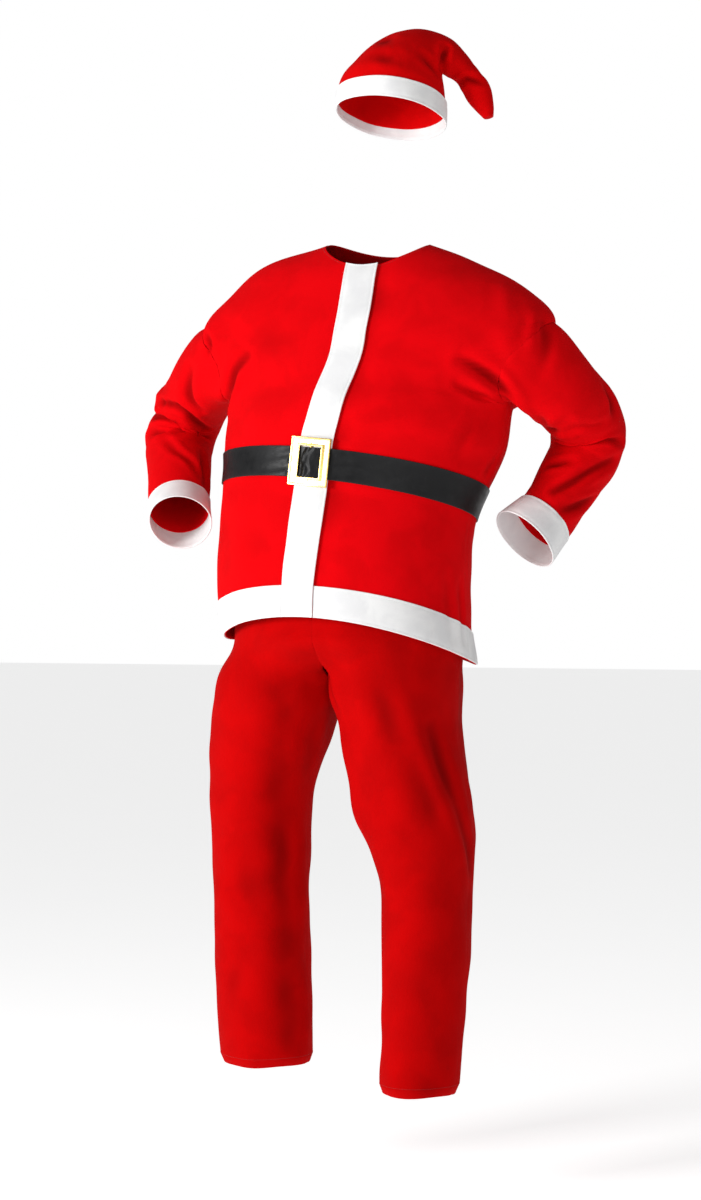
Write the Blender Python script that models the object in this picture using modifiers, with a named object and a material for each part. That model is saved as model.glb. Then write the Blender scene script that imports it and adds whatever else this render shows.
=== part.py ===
"""A santa suit as it is worn: belted jacket, trousers and hat, each a hollow of thin felt.

Metres, +Z up. The suit faces -Y, so the wearer's left is +X. The origin is the middle of the neck opening,
at the height of its sides, where the jacket hangs on the shoulders. Angles round the body start at the
front and grow towards the wearer's left.
"""

import math
from functools import partial
from typing import NamedTuple

import bmesh
import bpy
import numpy as np
from mathutils import Matrix, Vector

# ---------------------------------------------------------------- driving sizes

CLOTH = 0.002  # wall of the red felt
TRIM = 0.0025  # wall of the white felt
STRAP = 0.0018  # wall of the belt
SEAM = 0.0003  # gap between pieces, at seams and where one lies on another

BAND_WIDTH = 0.056  # white band down the front
HEM_BAND_HEIGHT = 0.051
CUFF_LENGTH = 0.050
CUFF_LAP = 0.010  # how far a cuff reaches back over its sleeve
BELT_WIDTH = 0.049
GATHERED_WIDTH = 0.0485  # the strap where it runs through the buckle
LAP_EASE = 0.040  # width over which the left front steps in to pass under the right one


class Section(NamedTuple):
    """One ring round the body, named by its height at the front."""

    level: float
    centre_x: float
    centre_y: float
    half_width: float
    front: float  # depth from the centre to the front
    back: float
    back_drop: float  # how much lower the back is than the front
    left_drop: float  # how much lower the wearer's left side is than the middle
    side_lift: float  # how much higher both sides are, as at the shoulders


JACKET = (
    Section(-0.607, -0.0485, -0.006, 0.2100, 0.180, 0.186, 0.079, 0.011, -0.021),  # hem
    Section(-0.556, -0.0570, -0.006, 0.2130, 0.182, 0.185, 0.105, 0.008, -0.007),
    Section(-0.480, -0.0580, -0.006, 0.2160, 0.179, 0.180, 0.088, 0.013, -0.002),
    Section(-0.405, -0.0530, -0.004, 0.2150, 0.173, 0.170, 0.068, 0.021, 0.0),
    Section(-0.360, -0.0455, -0.003, 0.2195, 0.171, 0.166, 0.072, 0.023, 0.0),  # belt
    Section(-0.325, -0.0355, -0.003, 0.2290, 0.172, 0.168, 0.066, 0.021, 0.0),
    Section(-0.290, -0.0215, -0.002, 0.2405, 0.174, 0.172, 0.050, 0.012, 0.0),  # blouse
    Section(-0.255, -0.0150, 0.000, 0.2430, 0.166, 0.162, 0.020, 0.002, 0.0),
    Section(-0.232, -0.0120, 0.002, 0.2430, 0.158, 0.152, 0.010, 0.004, -0.010),  # armpit
    Section(-0.195, -0.0080, 0.004, 0.2680, 0.146, 0.140, 0.002, 0.006, 0.004),
    Section(-0.155, -0.0040, 0.005, 0.3050, 0.131, 0.128, -0.008, 0.008, 0.026),  # shoulder tip
    Section(-0.112, 0.0000, 0.005, 0.2640, 0.116, 0.114, -0.016, 0.010, 0.031),
    Section(-0.078, 0.0000, 0.004, 0.2110, 0.101, 0.098, -0.022, 0.012, 0.032),
    Section(-0.052, 0.0000, 0.002, 0.1480, 0.088, 0.082, -0.028, 0.009, 0.028),
    Section(-0.034, 0.0000, 0.000, 0.0880, 0.076, 0.068, -0.030, 0.005, 0.028),  # neck
)
HEM, NECK = JACKET[0].level, JACKET[-1].level
BELT = JACKET[4].level
ARMPIT, SHOULDER = JACKET[8].level, JACKET[10].level
ARMHOLE_HALF_ANGLE = 24.0  # degrees each side of the side seam
CAP_LENGTH = 0.11  # length over which a sleeve goes from the armhole's shape to a round one
CAP_LEAN = 1.5  # how far a sleeve leans along the arm where it leaves the armhole
EASE_REACH = 0.080  # how far each side of an armhole the cloth spans the hollow between body and sleeve
EASE_LEAST = 0.12  # the share of that ease at the armpit and the shoulder
ARMHOLE_RADIUS = 0.058
ARMHOLE_GAP = 0.0005  # a little over a seam's, because the two pieces' facets differ there
HEM_TURN, HEM_LEAN = 97.0, 20.0  # degrees: the back of the jacket stops dropping here, later on the left

BAND_ANGLES = (  # levels up the front, and where the band's middle is there in degrees
    (-0.607, -0.540, -0.480, -0.400, -0.360, -0.300, -0.250, -0.190, -0.140, -0.034),
    (-5.2, -1.3, 0.6, 1.4, 0.9, -1.0, -0.9, 1.1, 0.4, 0.5),
)


class Arm(NamedTuple):
    """A sleeve's path, with straight runs between rounded corners, and its sizes along it."""

    side: int  # +1 is the wearer's left
    corners: tuple  # the armhole's middle, each corner of the path, the mouth
    bends: tuple  # radius of the path at each corner
    radii: tuple  # (share of the path, half height, half width)


ARMS = {
    "right": Arm(
        side=-1,
        corners=(
            (-0.2700, 0.0000, -0.1840),
            (-0.3095, 0.0180, -0.1945),
            (-0.4330, 0.1350, -0.2740),
            (-0.3352, -0.0570, -0.4495),
        ),
        bends=(0.120, 0.058),
        radii=(
            (0.00, 0.062, 0.070),
            (0.25, 0.0555, 0.066),
            (0.52, 0.060, 0.060),
            (0.75, 0.053, 0.053),
            (0.88, 0.050, 0.051),
            (1.00, 0.050, 0.055),
        ),
    ),
    "left": Arm(
        side=1,
        corners=(
            (0.2680, 0.0000, -0.1880),
            (0.2955, 0.0220, -0.2245),
            (0.3330, 0.1650, -0.3000),
            (0.2690, 0.0720, -0.4430),
            (0.2415, 0.0395, -0.4800),
        ),
        bends=(0.110, 0.058, 0.070),
        radii=(
            (0.00, 0.064, 0.071),
            (0.25, 0.0625, 0.068),
            (0.50, 0.0615, 0.066),
            (0.65, 0.0535, 0.056),
            (0.78, 0.050, 0.050),
            (0.88, 0.052, 0.052),
            (1.00, 0.057, 0.060),
        ),
    ),
}

HIPS = (
    Section(-0.800, -0.0695, 0.000, 0.2090, 0.150, 0.160, 0.0, 0.0, 0.0),
    Section(-0.738, -0.0670, 0.000, 0.2090, 0.163, 0.170, 0.0, 0.0, 0.0),
    Section(-0.700, -0.0565, 0.000, 0.1985, 0.166, 0.140, 0.0, 0.0, 0.0),
    Section(-0.674, -0.0515, 0.000, 0.1955, 0.165, 0.135, 0.0, 0.0, 0.0),
    Section(-0.640, -0.0510, 0.000, 0.1960, 0.163, 0.152, 0.0, 0.0, 0.0),
    Section(-0.560, -0.0520, 0.000, 0.1960, 0.160, 0.164, 0.0, 0.0, 0.0),
    Section(-0.480, -0.0500, 0.000, 0.1880, 0.152, 0.154, 0.0, 0.0, 0.0),
    Section(-0.420, -0.0470, 0.000, 0.1800, 0.144, 0.144, 0.0, 0.0, 0.0),  # waist
)
WAIST = HIPS[-1].level
CROTCH = -0.742
RISE_TOP = -0.640  # above this the trousers follow the hips alone
RISE_X = -0.0695  # where the crotch lies across the body


class LegSection(NamedTuple):
    """One ring round a trouser leg."""

    level: float
    centre_x: float
    centre_y: float
    half_width: float
    half_depth: float


LEGS = {
    "right": (
        LegSection(-1.354, -0.2000, 0.000, 0.0770, 0.0790),  # hem
        LegSection(-1.314, -0.2010, 0.000, 0.0780, 0.0820),
        LegSection(-1.152, -0.2076, 0.000, 0.0790, 0.0880),
        LegSection(-1.000, -0.2090, 0.000, 0.0805, 0.0930),
        LegSection(-0.886, -0.2050, 0.000, 0.0865, 0.1040),
        LegSection(-0.819, -0.1920, 0.000, 0.0970, 0.1180),
        LegSection(-0.778, -0.1830, 0.000, 0.1010, 0.1280),
        LegSection(-0.742, -0.1745, 0.000, 0.1050, 0.1350),  # crotch
        LegSection(-0.640, -0.1745, 0.000, 0.1050, 0.1500),
    ),
    "left": (
        LegSection(-1.367, 0.1097, -0.104, 0.0591, 0.0700),
        LegSection(-1.271, 0.1065, -0.078, 0.0640, 0.0770),
        LegSection(-1.158, 0.1045, -0.052, 0.0695, 0.0860),
        LegSection(-1.032, 0.0940, -0.028, 0.0761, 0.0960),
        LegSection(-0.988, 0.0860, -0.022, 0.0836, 0.1030),
        LegSection(-0.940, 0.0730, -0.018, 0.0930, 0.1120),
        LegSection(-0.878, 0.0611, -0.011, 0.0965, 0.1180),
        LegSection(-0.814, 0.0477, -0.004, 0.0979, 0.1240),
        LegSection(-0.775, 0.0408, 0.000, 0.0990, 0.1290),
        LegSection(-0.742, 0.0355, 0.000, 0.1050, 0.1350),
        LegSection(-0.640, 0.0355, 0.000, 0.1050, 0.1500),
    ),
}

HAT_TURN = math.radians(22)  # the head is turned this far to the wearer's left


class HatSection(NamedTuple):
    """One ring of the hat: its two ends across the head, and its half depth from back to front."""

    low_across: float
    low_height: float
    high_across: float
    high_height: float
    half_depth: float
    front_lift: float


HAT = (
    HatSection(-0.0670, 0.2310, 0.1100, 0.2050, 0.0940, 0.0170),  # edge of the band
    HatSection(-0.0665, 0.2620, 0.1095, 0.2410, 0.0935, 0.0170),
    HatSection(-0.0590, 0.2850, 0.1090, 0.2520, 0.0920, 0.0150),
    HatSection(-0.0430, 0.3050, 0.1080, 0.2640, 0.0850, 0.0110),
    HatSection(-0.0190, 0.3310, 0.1060, 0.2760, 0.0750, 0.0070),
    HatSection(0.0199, 0.3530, 0.1045, 0.2860, 0.0620, 0.0030),
    HatSection(0.0579, 0.3640, 0.1076, 0.2920, 0.0500, 0.0),
    HatSection(0.0911, 0.3600, 0.1165, 0.2870, 0.0410, 0.0),
    HatSection(0.1242, 0.3480, 0.1275, 0.2820, 0.0340, 0.0),
    HatSection(0.1474, 0.3245, 0.1350, 0.2745, 0.0280, 0.0),
    HatSection(0.1680, 0.2930, 0.1424, 0.2616, 0.0230, 0.0),
    HatSection(0.1838, 0.2680, 0.1523, 0.2450, 0.0190, 0.0),
    HatSection(0.1904, 0.2400, 0.1656, 0.2290, 0.0150, 0.0),
    HatSection(0.1904, 0.2215, 0.1755, 0.2185, 0.0090, 0.0),  # end of the tail
)

BUCKLE_ASIDE, BUCKLE_RISE = -0.0052, 0.0010  # its middle from the band's and the strap's
BUCKLE_WIDTH, BUCKLE_HEIGHT = 0.068, 0.078
BUCKLE_OPENING_WIDTH, BUCKLE_OPENING_HEIGHT = 0.0375, 0.0510
BUCKLE_DEPTH = 0.003
BUCKLE_BEVEL = 0.0008
BAR_WIDTH, BAR_DEPTH, BAR_HEIGHT = 0.004, 0.0015, 0.066  # the bar that the strap runs over
BAR_STAND_OFF = 0.0016  # the body is a little hollow behind the straight bar

# grid counts
ARMHOLE_STEPS = 9  # along each side of an armhole, so a sleeve has twice as many sides
FRONT_COLUMNS = 8
BACK_COLUMNS = 18
LEG_COLUMNS, LEG_ROWS, SEAT_ROWS = 8, 13, 9
HAT_SIDES = 20

# ---------------------------------------------------------------- materials


def material(name, colour, roughness, metallic=0.0):
    made = bpy.data.materials.new(name)
    made.use_nodes = True
    shader = made.node_tree.nodes["Principled BSDF"]
    shader.inputs["Base Color"].default_value = (*colour, 1.0)
    shader.inputs["Roughness"].default_value = roughness
    shader.inputs["Metallic"].default_value = metallic
    return made


def make_materials():
    return {
        "red": material("red_felt", (0.72, 0.004, 0.006), 0.9),
        "white": material("white_felt", (0.86, 0.85, 0.84), 0.92),
        "black": material("black_vinyl", (0.012, 0.012, 0.013), 0.42),
        "gold": material("gold_buckle", (0.95, 0.78, 0.42), 0.28, 1.0),
    }


# ---------------------------------------------------------------- curves and surfaces


def smooth(rows, level):
    """The table's row at this level, by a cubic through its rows."""
    table = np.array(rows, float)
    at = table[:, 0]
    slopes = np.gradient(table, at, axis=0)
    k = int(np.clip(np.searchsorted(at, level) - 1, 0, len(at) - 2))
    step = at[k + 1] - at[k]
    f = (level - at[k]) / step
    row = (
        (1 + 2 * f) * (1 - f) ** 2 * table[k]
        + f * (1 - f) ** 2 * step * slopes[k]
        + f * f * (3 - 2 * f) * table[k + 1]
        + f * f * (f - 1) * step * slopes[k + 1]
    )
    return type(rows[0])(*row)


def drop_share(angle, level):
    """How much of a row's back drop is reached at an angle: the skirt and the belt level off behind."""
    a = math.radians(angle)
    turn = math.degrees(math.acos(math.cos(a)))
    most = HEM_TURN + HEM_LEAN * math.sin(a)
    levelled = -8 * math.log(math.exp(-turn / 8) + math.exp(-most / 8))
    share = ease(level, -0.245, -0.205)
    return (1 - math.cos(math.radians(levelled * (1 - share) + turn * share))) / 2


def body_point(rows, angle, level):
    """A point on a body of Sections, at an angle in degrees from the front."""
    row = smooth(rows, level)
    a = math.radians(angle)
    across, ahead = math.sin(a), math.cos(a)
    depth = row.front if ahead > 0 else row.back
    height = (
        level
        - row.back_drop * drop_share(angle, level)
        - row.left_drop * across
        + row.side_lift * across * across
    )
    return np.array(
        (row.centre_x + row.half_width * across, row.centre_y - depth * ahead, height)
    )


def ease(value, start, end):
    """0 up to the start, 1 from the end on, and smooth between."""
    share = float(np.clip((value - start) / (end - start), 0.0, 1.0))
    return share * share * (3 - 2 * share)


def unit(vector):
    return vector / max(np.linalg.norm(vector), 1e-12)


def with_normal(place, across, up, way=1, step=1e-3):
    """The point of place(across, up) and its outward normal, from its neighbours."""
    right = place(across + step, up) - place(across - step, up)
    above = place(across, up + step) - place(across, up - step)
    return place(across, up), unit(np.cross(right, above)) * way


def plain_armhole(side, turn):
    """A place on an armhole's edge before the cloth is eased over the hollow beside it."""
    return with_normal(partial(body_point, JACKET), *armhole_spot(side, turn))


def armhole_ease(side, turn):
    """How far the cloth at an armhole's edge is drawn out of the hollow between body and sleeve."""
    _, normal = plain_armhole(side, turn)
    edge = unit(plain_armhole(side, turn + 0.01)[0] - plain_armhole(side, turn - 0.01)[0])
    away = -unit(np.cross(edge, normal)) * side
    corners = ARMS["left" if side > 0 else "right"].corners
    leave = normal + CAP_LEAN * unit(np.subtract(corners[1], corners[0]))
    leave = unit(leave - edge * float(leave @ edge))
    up = math.degrees(math.acos(math.cos(turn)))
    strength = EASE_LEAST + (1 - EASE_LEAST) * ease(up, 8, 55) * (1 - ease(up, 112, 162))
    return (away + leave) * EASE_REACH / 4 * strength


def ease_share(distance):
    """The share of an armhole's ease that is left at a distance from its edge."""
    return max(0.0, 1 - max(distance, -0.3 * ARMHOLE_RADIUS) / EASE_REACH) ** 2


def jacket_point(angle, level):
    """A point on the jacket, whose cloth is eased beside its armholes."""
    side = 1 if math.sin(math.radians(angle)) > 0 else -1
    wrapped = angle - 360 if angle > 180 and side < 0 else angle
    aside = (90 - side * wrapped) / ARMHOLE_HALF_ANGLE
    below = ((SHOULDER + ARMPIT) / 2 - level) / ((SHOULDER - ARMPIT) / 2)
    share = ease_share((math.hypot(aside, below) - 1) * ARMHOLE_RADIUS)
    point = body_point(JACKET, angle, level)
    return point + armhole_ease(side, math.atan2(aside, below)) * share if share else point


def jacket_at(angle, level):
    """A point on the jacket's outer face, and its outward normal."""
    step = 1e-3
    near = float(np.clip(level, HEM + step, NECK - step))
    right = jacket_point(angle + 0.5, near) - jacket_point(angle - 0.5, near)
    above = jacket_point(angle, near + step) - jacket_point(angle, near - step)
    return jacket_point(angle, level), unit(np.cross(right, above))


def turn_of(metres, level):
    """The angle in degrees that this many metres take across the front."""
    return math.degrees(metres / smooth(JACKET, level).half_width)


def band_angle(level):
    levels, angles = BAND_ANGLES
    slopes = np.gradient(angles, levels)
    i = int(np.clip(np.searchsorted(levels, level) - 1, 0, len(levels) - 2))
    gap = levels[i + 1] - levels[i]
    t = float(np.clip((level - levels[i]) / gap, 0.0, 1.0))
    return (
        angles[i] * (1 + 2 * t) * (1 - t) ** 2
        + slopes[i] * gap * t * (1 - t) ** 2
        + angles[i + 1] * t * t * (3 - 2 * t)
        + slopes[i + 1] * gap * t * t * (t - 1)
    )


def armhole_turn(level):
    """How far, in degrees, an armhole's edge is from the side seam at this level."""
    middle, half = (SHOULDER + ARMPIT) / 2, (SHOULDER - ARMPIT) / 2
    return ARMHOLE_HALF_ANGLE * math.sqrt(max(0.0, 1 - ((level - middle) / half) ** 2))


def armhole_spot(side, turn):
    """The angle and level of a place on an armhole's edge."""
    return side * (90 - ARMHOLE_HALF_ANGLE * math.sin(turn)), armhole_level(turn)


def armhole_level(turn):
    """The level on an armhole's edge, for a turn of 0 at the armpit and pi at the shoulder."""
    middle, half = (SHOULDER + ARMPIT) / 2, (SHOULDER - ARMPIT) / 2
    return middle - half * math.cos(turn)


def seam_angle(level):
    """Half a seam's gap, as an angle at the body's side."""
    row = smooth(JACKET, level)
    return math.degrees(SEAM / 2 / min(row.front, row.back))


def armhole_levels():
    """The levels of the rows beside an armhole, where a sleeve has its points too."""
    return [armhole_level(math.pi * k / ARMHOLE_STEPS) for k in range(ARMHOLE_STEPS + 1)]


def jacket_levels():
    """The levels of the body panels' rows: every piece that lies on a panel shares them."""
    belt_low, belt_high = BELT - BELT_WIDTH / 2, BELT + BELT_WIDTH / 2
    hem_top = HEM + HEM_BAND_HEIGHT
    return [
        *np.linspace(HEM, hem_top, 3),
        *np.linspace(hem_top, belt_low, 5)[1:],
        BELT,
        *np.linspace(belt_high, ARMPIT, 4)[:-1],
        *armhole_levels(),
        *np.linspace(SHOULDER, NECK, 6)[1:],
    ]


# ---------------------------------------------------------------- solids


def wall(name, finish, grid, inner, outer, closed=False, capped=False):
    """A closed wall over a grid, from `inner` to `outer` metres out from its surface.

    grid[row][column] is a point and its outward normal; rows go up and columns to the right as seen
    from outside. A closed wall's last column is its first one again. A capped one is closed at its
    last row.
    """
    rows, columns = len(grid) - 1, len(grid[0]) - 1
    bm = bmesh.new()
    bmesh.ops.create_grid(bm, x_segments=columns, y_segments=rows, size=0.5)
    spots = {
        v: grid[round((v.co.y + 0.5) * rows)][round((v.co.x + 0.5) * columns)] for v in bm.verts
    }
    top = {v for v in bm.verts if v.co.y > 0.5 - 1e-6}
    for v, (point, normal) in spots.items():
        v.co = point + normal * outer
    if closed:
        bmesh.ops.remove_doubles(bm, verts=bm.verts, dist=1e-6)
    inset = {}
    if capped:
        mouth = [e for e in bm.edges if e.is_boundary and top.issuperset(e.verts)]
        cap = bmesh.ops.edgeloop_fill(bm, edges=mouth)["faces"][0]
        cap.normal_update()
        inset = {v: cap.normal * (inner - outer) for v in cap.verts}
    layer = bm.verts[:] + bm.edges[:] + bm.faces[:]
    rim = [e for e in bm.edges if e.is_boundary]
    copy = bmesh.ops.duplicate(bm, geom=layer)
    twins = {v: copy["vert_map"][v] for v in layer if isinstance(v, bmesh.types.BMVert)}
    for v, twin in twins.items():
        point, normal = spots[v]
        twin.co = Vector(point + normal * inner) + inset.get(v, Vector())
    inside = [f for f in copy["geom"] if isinstance(f, bmesh.types.BMFace)]
    bmesh.ops.reverse_faces(bm, faces=inside)
    for edge in rim:
        loop = edge.link_loops[0]
        a, b = loop.vert, loop.link_loop_next.vert
        bm.faces.new((b, a, twins[a], twins[b]))
    return finished(name, finish, bm)


def finished(name, finish, bm):
    """The object that a bmesh becomes, in the suit's collection."""
    mesh = bpy.data.meshes.new(name)
    bm.to_mesh(mesh)
    bm.free()
    mesh.shade_smooth()
    mesh.set_sharp_from_angle(angle=math.radians(50))
    mesh.materials.append(finish)
    obj = bpy.data.objects.new(name, mesh)
    bpy.data.collections["santa_suit"].objects.link(obj)
    return obj


# ---------------------------------------------------------------- jacket


def band_edges(level):
    """The angles of the front band's two edges."""
    half = turn_of(BAND_WIDTH / 2, level)
    return band_angle(level) - half, band_angle(level) + half


def right_front_angles(level):
    """The right front's columns: from the side seam to the band, and under the band to its far edge."""
    first = -90 + armhole_turn(level) + seam_angle(level)
    low, high = band_edges(level)
    return [*np.linspace(first, low, FRONT_COLUMNS), band_angle(level), high]


def left_front_angles(level):
    """The left front's columns: it starts under the middle of the band and runs to the side seam."""
    _, edge = band_edges(level)
    eased = edge + turn_of(LAP_EASE, level)
    last = 90 - armhole_turn(level) - seam_angle(level)
    middle = edge + 0.5 * (eased - edge)
    return [band_angle(level), edge, middle, *np.linspace(eased, last, FRONT_COLUMNS - 1)]


def back_angles(level):
    first = 90 + armhole_turn(level) + seam_angle(level)
    last = 270 - armhole_turn(level) - seam_angle(level)
    return list(np.linspace(first, last, BACK_COLUMNS + 1))


def left_front_at(angle, level):
    """A place on the left front, which lies inside the right one near the band."""
    _, edge = band_edges(level)
    past = math.radians(angle - edge) * smooth(JACKET, level).half_width
    share = float(np.clip(past / LAP_EASE, 0.0, 1.0))
    tuck = (CLOTH + 2 * SEAM) * (1 - share * share * (3 - 2 * share))
    point, normal = jacket_at(angle, level)
    return point - normal * tuck, normal


PANELS = {
    "front_right": (right_front_angles, jacket_at),
    "front_left": (left_front_angles, left_front_at),
    "back": (back_angles, jacket_at),
}


def make_body(finish):
    for name, (angles, place) in PANELS.items():
        grid = [[place(angle, level) for angle in angles(level)] for level in jacket_levels()]
        wall(f"jacket_{name}", finish, grid, -CLOTH, 0.0)


def make_hem_bands(finish):
    """White felt on each panel's lowest rows, ending just short of the band down the front."""
    levels = jacket_levels()[:3]

    def right(level):
        return [*right_front_angles(level)[:-3], band_edges(level)[0] - turn_of(SEAM, level)]

    def left(level):
        return [band_edges(level)[1] + turn_of(2 * SEAM, level), *left_front_angles(level)[2:]]

    for name, angles in {"right": right, "left": left, "back": back_angles}.items():
        place = left_front_at if name == "left" else jacket_at
        grid = [[place(angle, level) for angle in angles(level)] for level in levels]
        wall(f"hem_band_{name}", finish, grid, SEAM, SEAM + TRIM)


def make_front_band(finish):
    grid = [
        [jacket_at(angle, level) for angle in right_front_angles(level)[-3:]]
        for level in jacket_levels()
    ]
    wall("front_band", finish, grid, SEAM, SEAM + TRIM)


# ---------------------------------------------------------------- sleeves


def armhole_place(side, turn):
    """A place on an armhole's edge, for a turn of 0 at the armpit and pi at the shoulder."""
    return jacket_at(*armhole_spot(side, turn))


def sleeve_root(side, turn):
    """A place a seam's gap into the armhole, in line with the body's cloth."""
    point, normal = armhole_place(side, turn)
    edge = armhole_place(side, turn + 0.01)[0] - armhole_place(side, turn - 0.01)[0]
    inward = unit(np.cross(edge, normal)) * side
    return point + inward * ARMHOLE_GAP, normal


class Bend(NamedTuple):
    """A stretch of a sleeve's path: a straight run, then a turn about an axis."""

    start: np.ndarray
    along: np.ndarray
    run: float
    axis: np.ndarray
    turn: float
    radius: float


def turned(vector, axis, angle):
    """The vector turned about the axis."""
    return (
        vector * math.cos(angle)
        + np.cross(axis, vector) * math.sin(angle)
        + axis * float(axis @ vector) * (1 - math.cos(angle))
    )


class SleevePath:
    """The line down the middle of a sleeve: straight runs with a rounded corner between them."""

    def __init__(self, arm):
        self.arm = arm
        corners = [np.array(corner) for corner in arm.corners]
        ways = [unit(b - a) for a, b in zip(corners, corners[1:])]
        self.bends = []
        start = corners[0]
        for k, radius in enumerate(arm.bends):
            turn = math.acos(float(ways[k] @ ways[k + 1]))
            cut = radius * math.tan(turn / 2)
            run = float(np.linalg.norm(corners[k + 1] - start)) - cut
            axis = unit(np.cross(ways[k], ways[k + 1]))
            self.bends.append(Bend(start, ways[k], run, axis, turn, radius))
            start = corners[k + 1] + ways[k + 1] * cut
        last = float(np.linalg.norm(corners[-1] - start))
        self.bends.append(Bend(start, ways[-1], last, ways[-1], 0.0, 0.0))
        self.stops = np.cumsum([n for b in self.bends for n in (b.run, b.turn * b.radius)])
        self.length = float(self.stops[-1])
        armpit = plain_armhole(arm.side, 0.0)[0] - corners[0]
        self.under = unit(armpit - ways[0] * float(armpit @ ways[0]))

    def at(self, distance):
        """(centre, way along, way to the under side) this far from the armhole."""
        under = self.under
        for bend in self.bends:
            arc = bend.turn * bend.radius
            if distance <= bend.run + arc or bend is self.bends[-1]:
                break
            distance -= bend.run + arc
            under = turned(under, bend.axis, bend.turn)
        if distance <= bend.run:
            return bend.start + bend.along * distance, bend.along, under
        angle = (distance - bend.run) / bend.radius if bend.radius else 0.0
        to_pivot = np.cross(bend.axis, bend.along) * bend.radius
        pivot = bend.start + bend.along * bend.run + to_pivot
        if not bend.radius:
            return bend.start + bend.along * distance, bend.along, under
        return (
            pivot - turned(to_pivot, bend.axis, angle),
            turned(bend.along, bend.axis, angle),
            turned(under, bend.axis, angle),
        )

    def distances(self, cuff_start):
        """Where the rings are, from the armhole to just under the cuff."""
        elbow, elbow_end = self.stops[2], self.stops[3]
        return [
            *np.linspace(0.0, elbow, 7)[1:],
            *np.linspace(elbow, elbow_end, 9)[1:],
            *np.linspace(elbow_end, cuff_start, 4)[1:],
            cuff_start + CUFF_LAP,
        ]


def tube_point(path, turn, distance):
    """A point on the round part of a sleeve; the turn starts at the armpit and goes by the front."""
    centre, along, under = path.at(distance)
    ahead = np.cross(under, along) * path.arm.side
    shares, heights, widths = zip(*path.arm.radii)
    share = distance / path.length
    high, wide = np.interp(share, shares, heights), np.interp(share, shares, widths)
    return centre + under * high * math.cos(turn) + ahead * wide * math.sin(turn)


def sleeve_point(path, turn, distance):
    """A point on a sleeve, which leaves the armhole outwards and swings round into its tube."""
    if distance >= CAP_LENGTH:
        return tube_point(path, turn, distance)
    start, normal = plain_armhole(path.arm.side, turn)
    leave = unit(normal + CAP_LEAN * path.bends[0].along)
    end = tube_point(path, turn, CAP_LENGTH)
    arrive = unit(tube_point(path, turn, CAP_LENGTH + 1e-3) - end)
    reach = float(np.linalg.norm(end - start))
    t = distance / CAP_LENGTH
    swing = (t**3 - 2 * t**2 + t) * leave + (t**3 - t**2) * arrive
    mix = 3 * t**2 - 2 * t**3
    eased = armhole_ease(path.arm.side, turn) * ease_share(max(distance, 0.0))
    return start * (1 - mix) + end * mix + reach * swing + eased


def sleeve_turns(side):
    """The turns of a sleeve's columns, to the right as seen from outside."""
    return [side * math.pi * k / ARMHOLE_STEPS for k in range(2 * ARMHOLE_STEPS + 1)]


def sleeve_ring(path, distance):
    side = path.arm.side
    point = partial(sleeve_point, path)
    return [with_normal(point, turn, distance, -side) for turn in sleeve_turns(side)]


def make_sleeves(red, white):
    for name, arm in ARMS.items():
        path = SleevePath(arm)
        cuff_start = path.length - CUFF_LENGTH
        root = [sleeve_root(arm.side, turn) for turn in sleeve_turns(arm.side)]
        sleeve = [root, *(sleeve_ring(path, d) for d in path.distances(cuff_start))]
        cuff_distances = (cuff_start, cuff_start + CUFF_LAP, path.length - 0.02, path.length)
        cuff = [sleeve_ring(path, d) for d in cuff_distances]
        wall(f"sleeve_{name}", red, sleeve[::-1], -CLOTH, 0.0, closed=True)
        wall(f"cuff_{name}", white, cuff[::-1], SEAM, SEAM + TRIM, closed=True)


# ---------------------------------------------------------------- belt


def buckle_angle(metres=0.0):
    """The angle of a place along the strap, measured from the middle of the buckle."""
    return band_angle(BELT) + turn_of(BUCKLE_ASIDE + metres, BELT)


def strap_metres(angle):
    """How far along the strap an angle is from the middle of the buckle."""
    return math.radians(angle - buckle_angle()) * smooth(JACKET, BELT).half_width


def strap_lift(metres):
    """How far out the strap's inner face is: over the cloth, over the band, and over the buckle's bar."""
    from_band = abs(metres + BUCKLE_ASIDE)
    over_band = (TRIM + SEAM) * (1 - ease(from_band, BAND_WIDTH / 2, BAND_WIDTH / 2 + 0.015))
    bar_top = BAR_STAND_OFF + BAR_DEPTH + SEAM
    over_bar = bar_top * (1 - ease(abs(metres), BAR_WIDTH, 0.014))
    return SEAM + over_band + over_bar


def strap_angles():
    """The strap's columns: those of the panels under it, and more where it runs through the buckle."""
    steps = (-0.014, -0.009, -0.004, 0.0, 0.004, 0.009, 0.014)
    through = [buckle_angle(metres) for metres in steps]
    right = right_front_angles(BELT)
    left = left_front_angles(BELT)[1:]
    angles = [*right[:-2], *through, *left, *back_angles(BELT)[1:-1]]
    return [*angles, angles[0] + 360]


def make_strap(finish):
    angles = strap_angles()
    grid = []
    for share in (-0.5, 0.0, 0.5):
        row = []
        for angle in angles:
            metres = strap_metres(angle if angle < 180 else angle - 360)
            width = BELT_WIDTH + (GATHERED_WIDTH - BELT_WIDTH) * (1 - ease(abs(metres), 0.016, 0.03))
            point, normal = jacket_at(angle, BELT + width * share)
            row.append((point + normal * strap_lift(metres), normal))
        grid.append(row)
    wall("belt_strap", finish, grid, 0.0, STRAP, closed=True)


def box(name, finish, size, centre):
    bm = bmesh.new()
    bmesh.ops.create_cube(bm, size=1.0)
    bmesh.ops.scale(bm, vec=size, verts=bm.verts)
    bmesh.ops.translate(bm, vec=centre, verts=bm.verts)
    return finished(name, finish, bm)


def boolean(obj, operation, other):
    step = obj.modifiers.new(other.name, "BOOLEAN")
    step.operation = operation
    step.object = other
    other.hide_render = True
    other.display_type = "WIRE"


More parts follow.
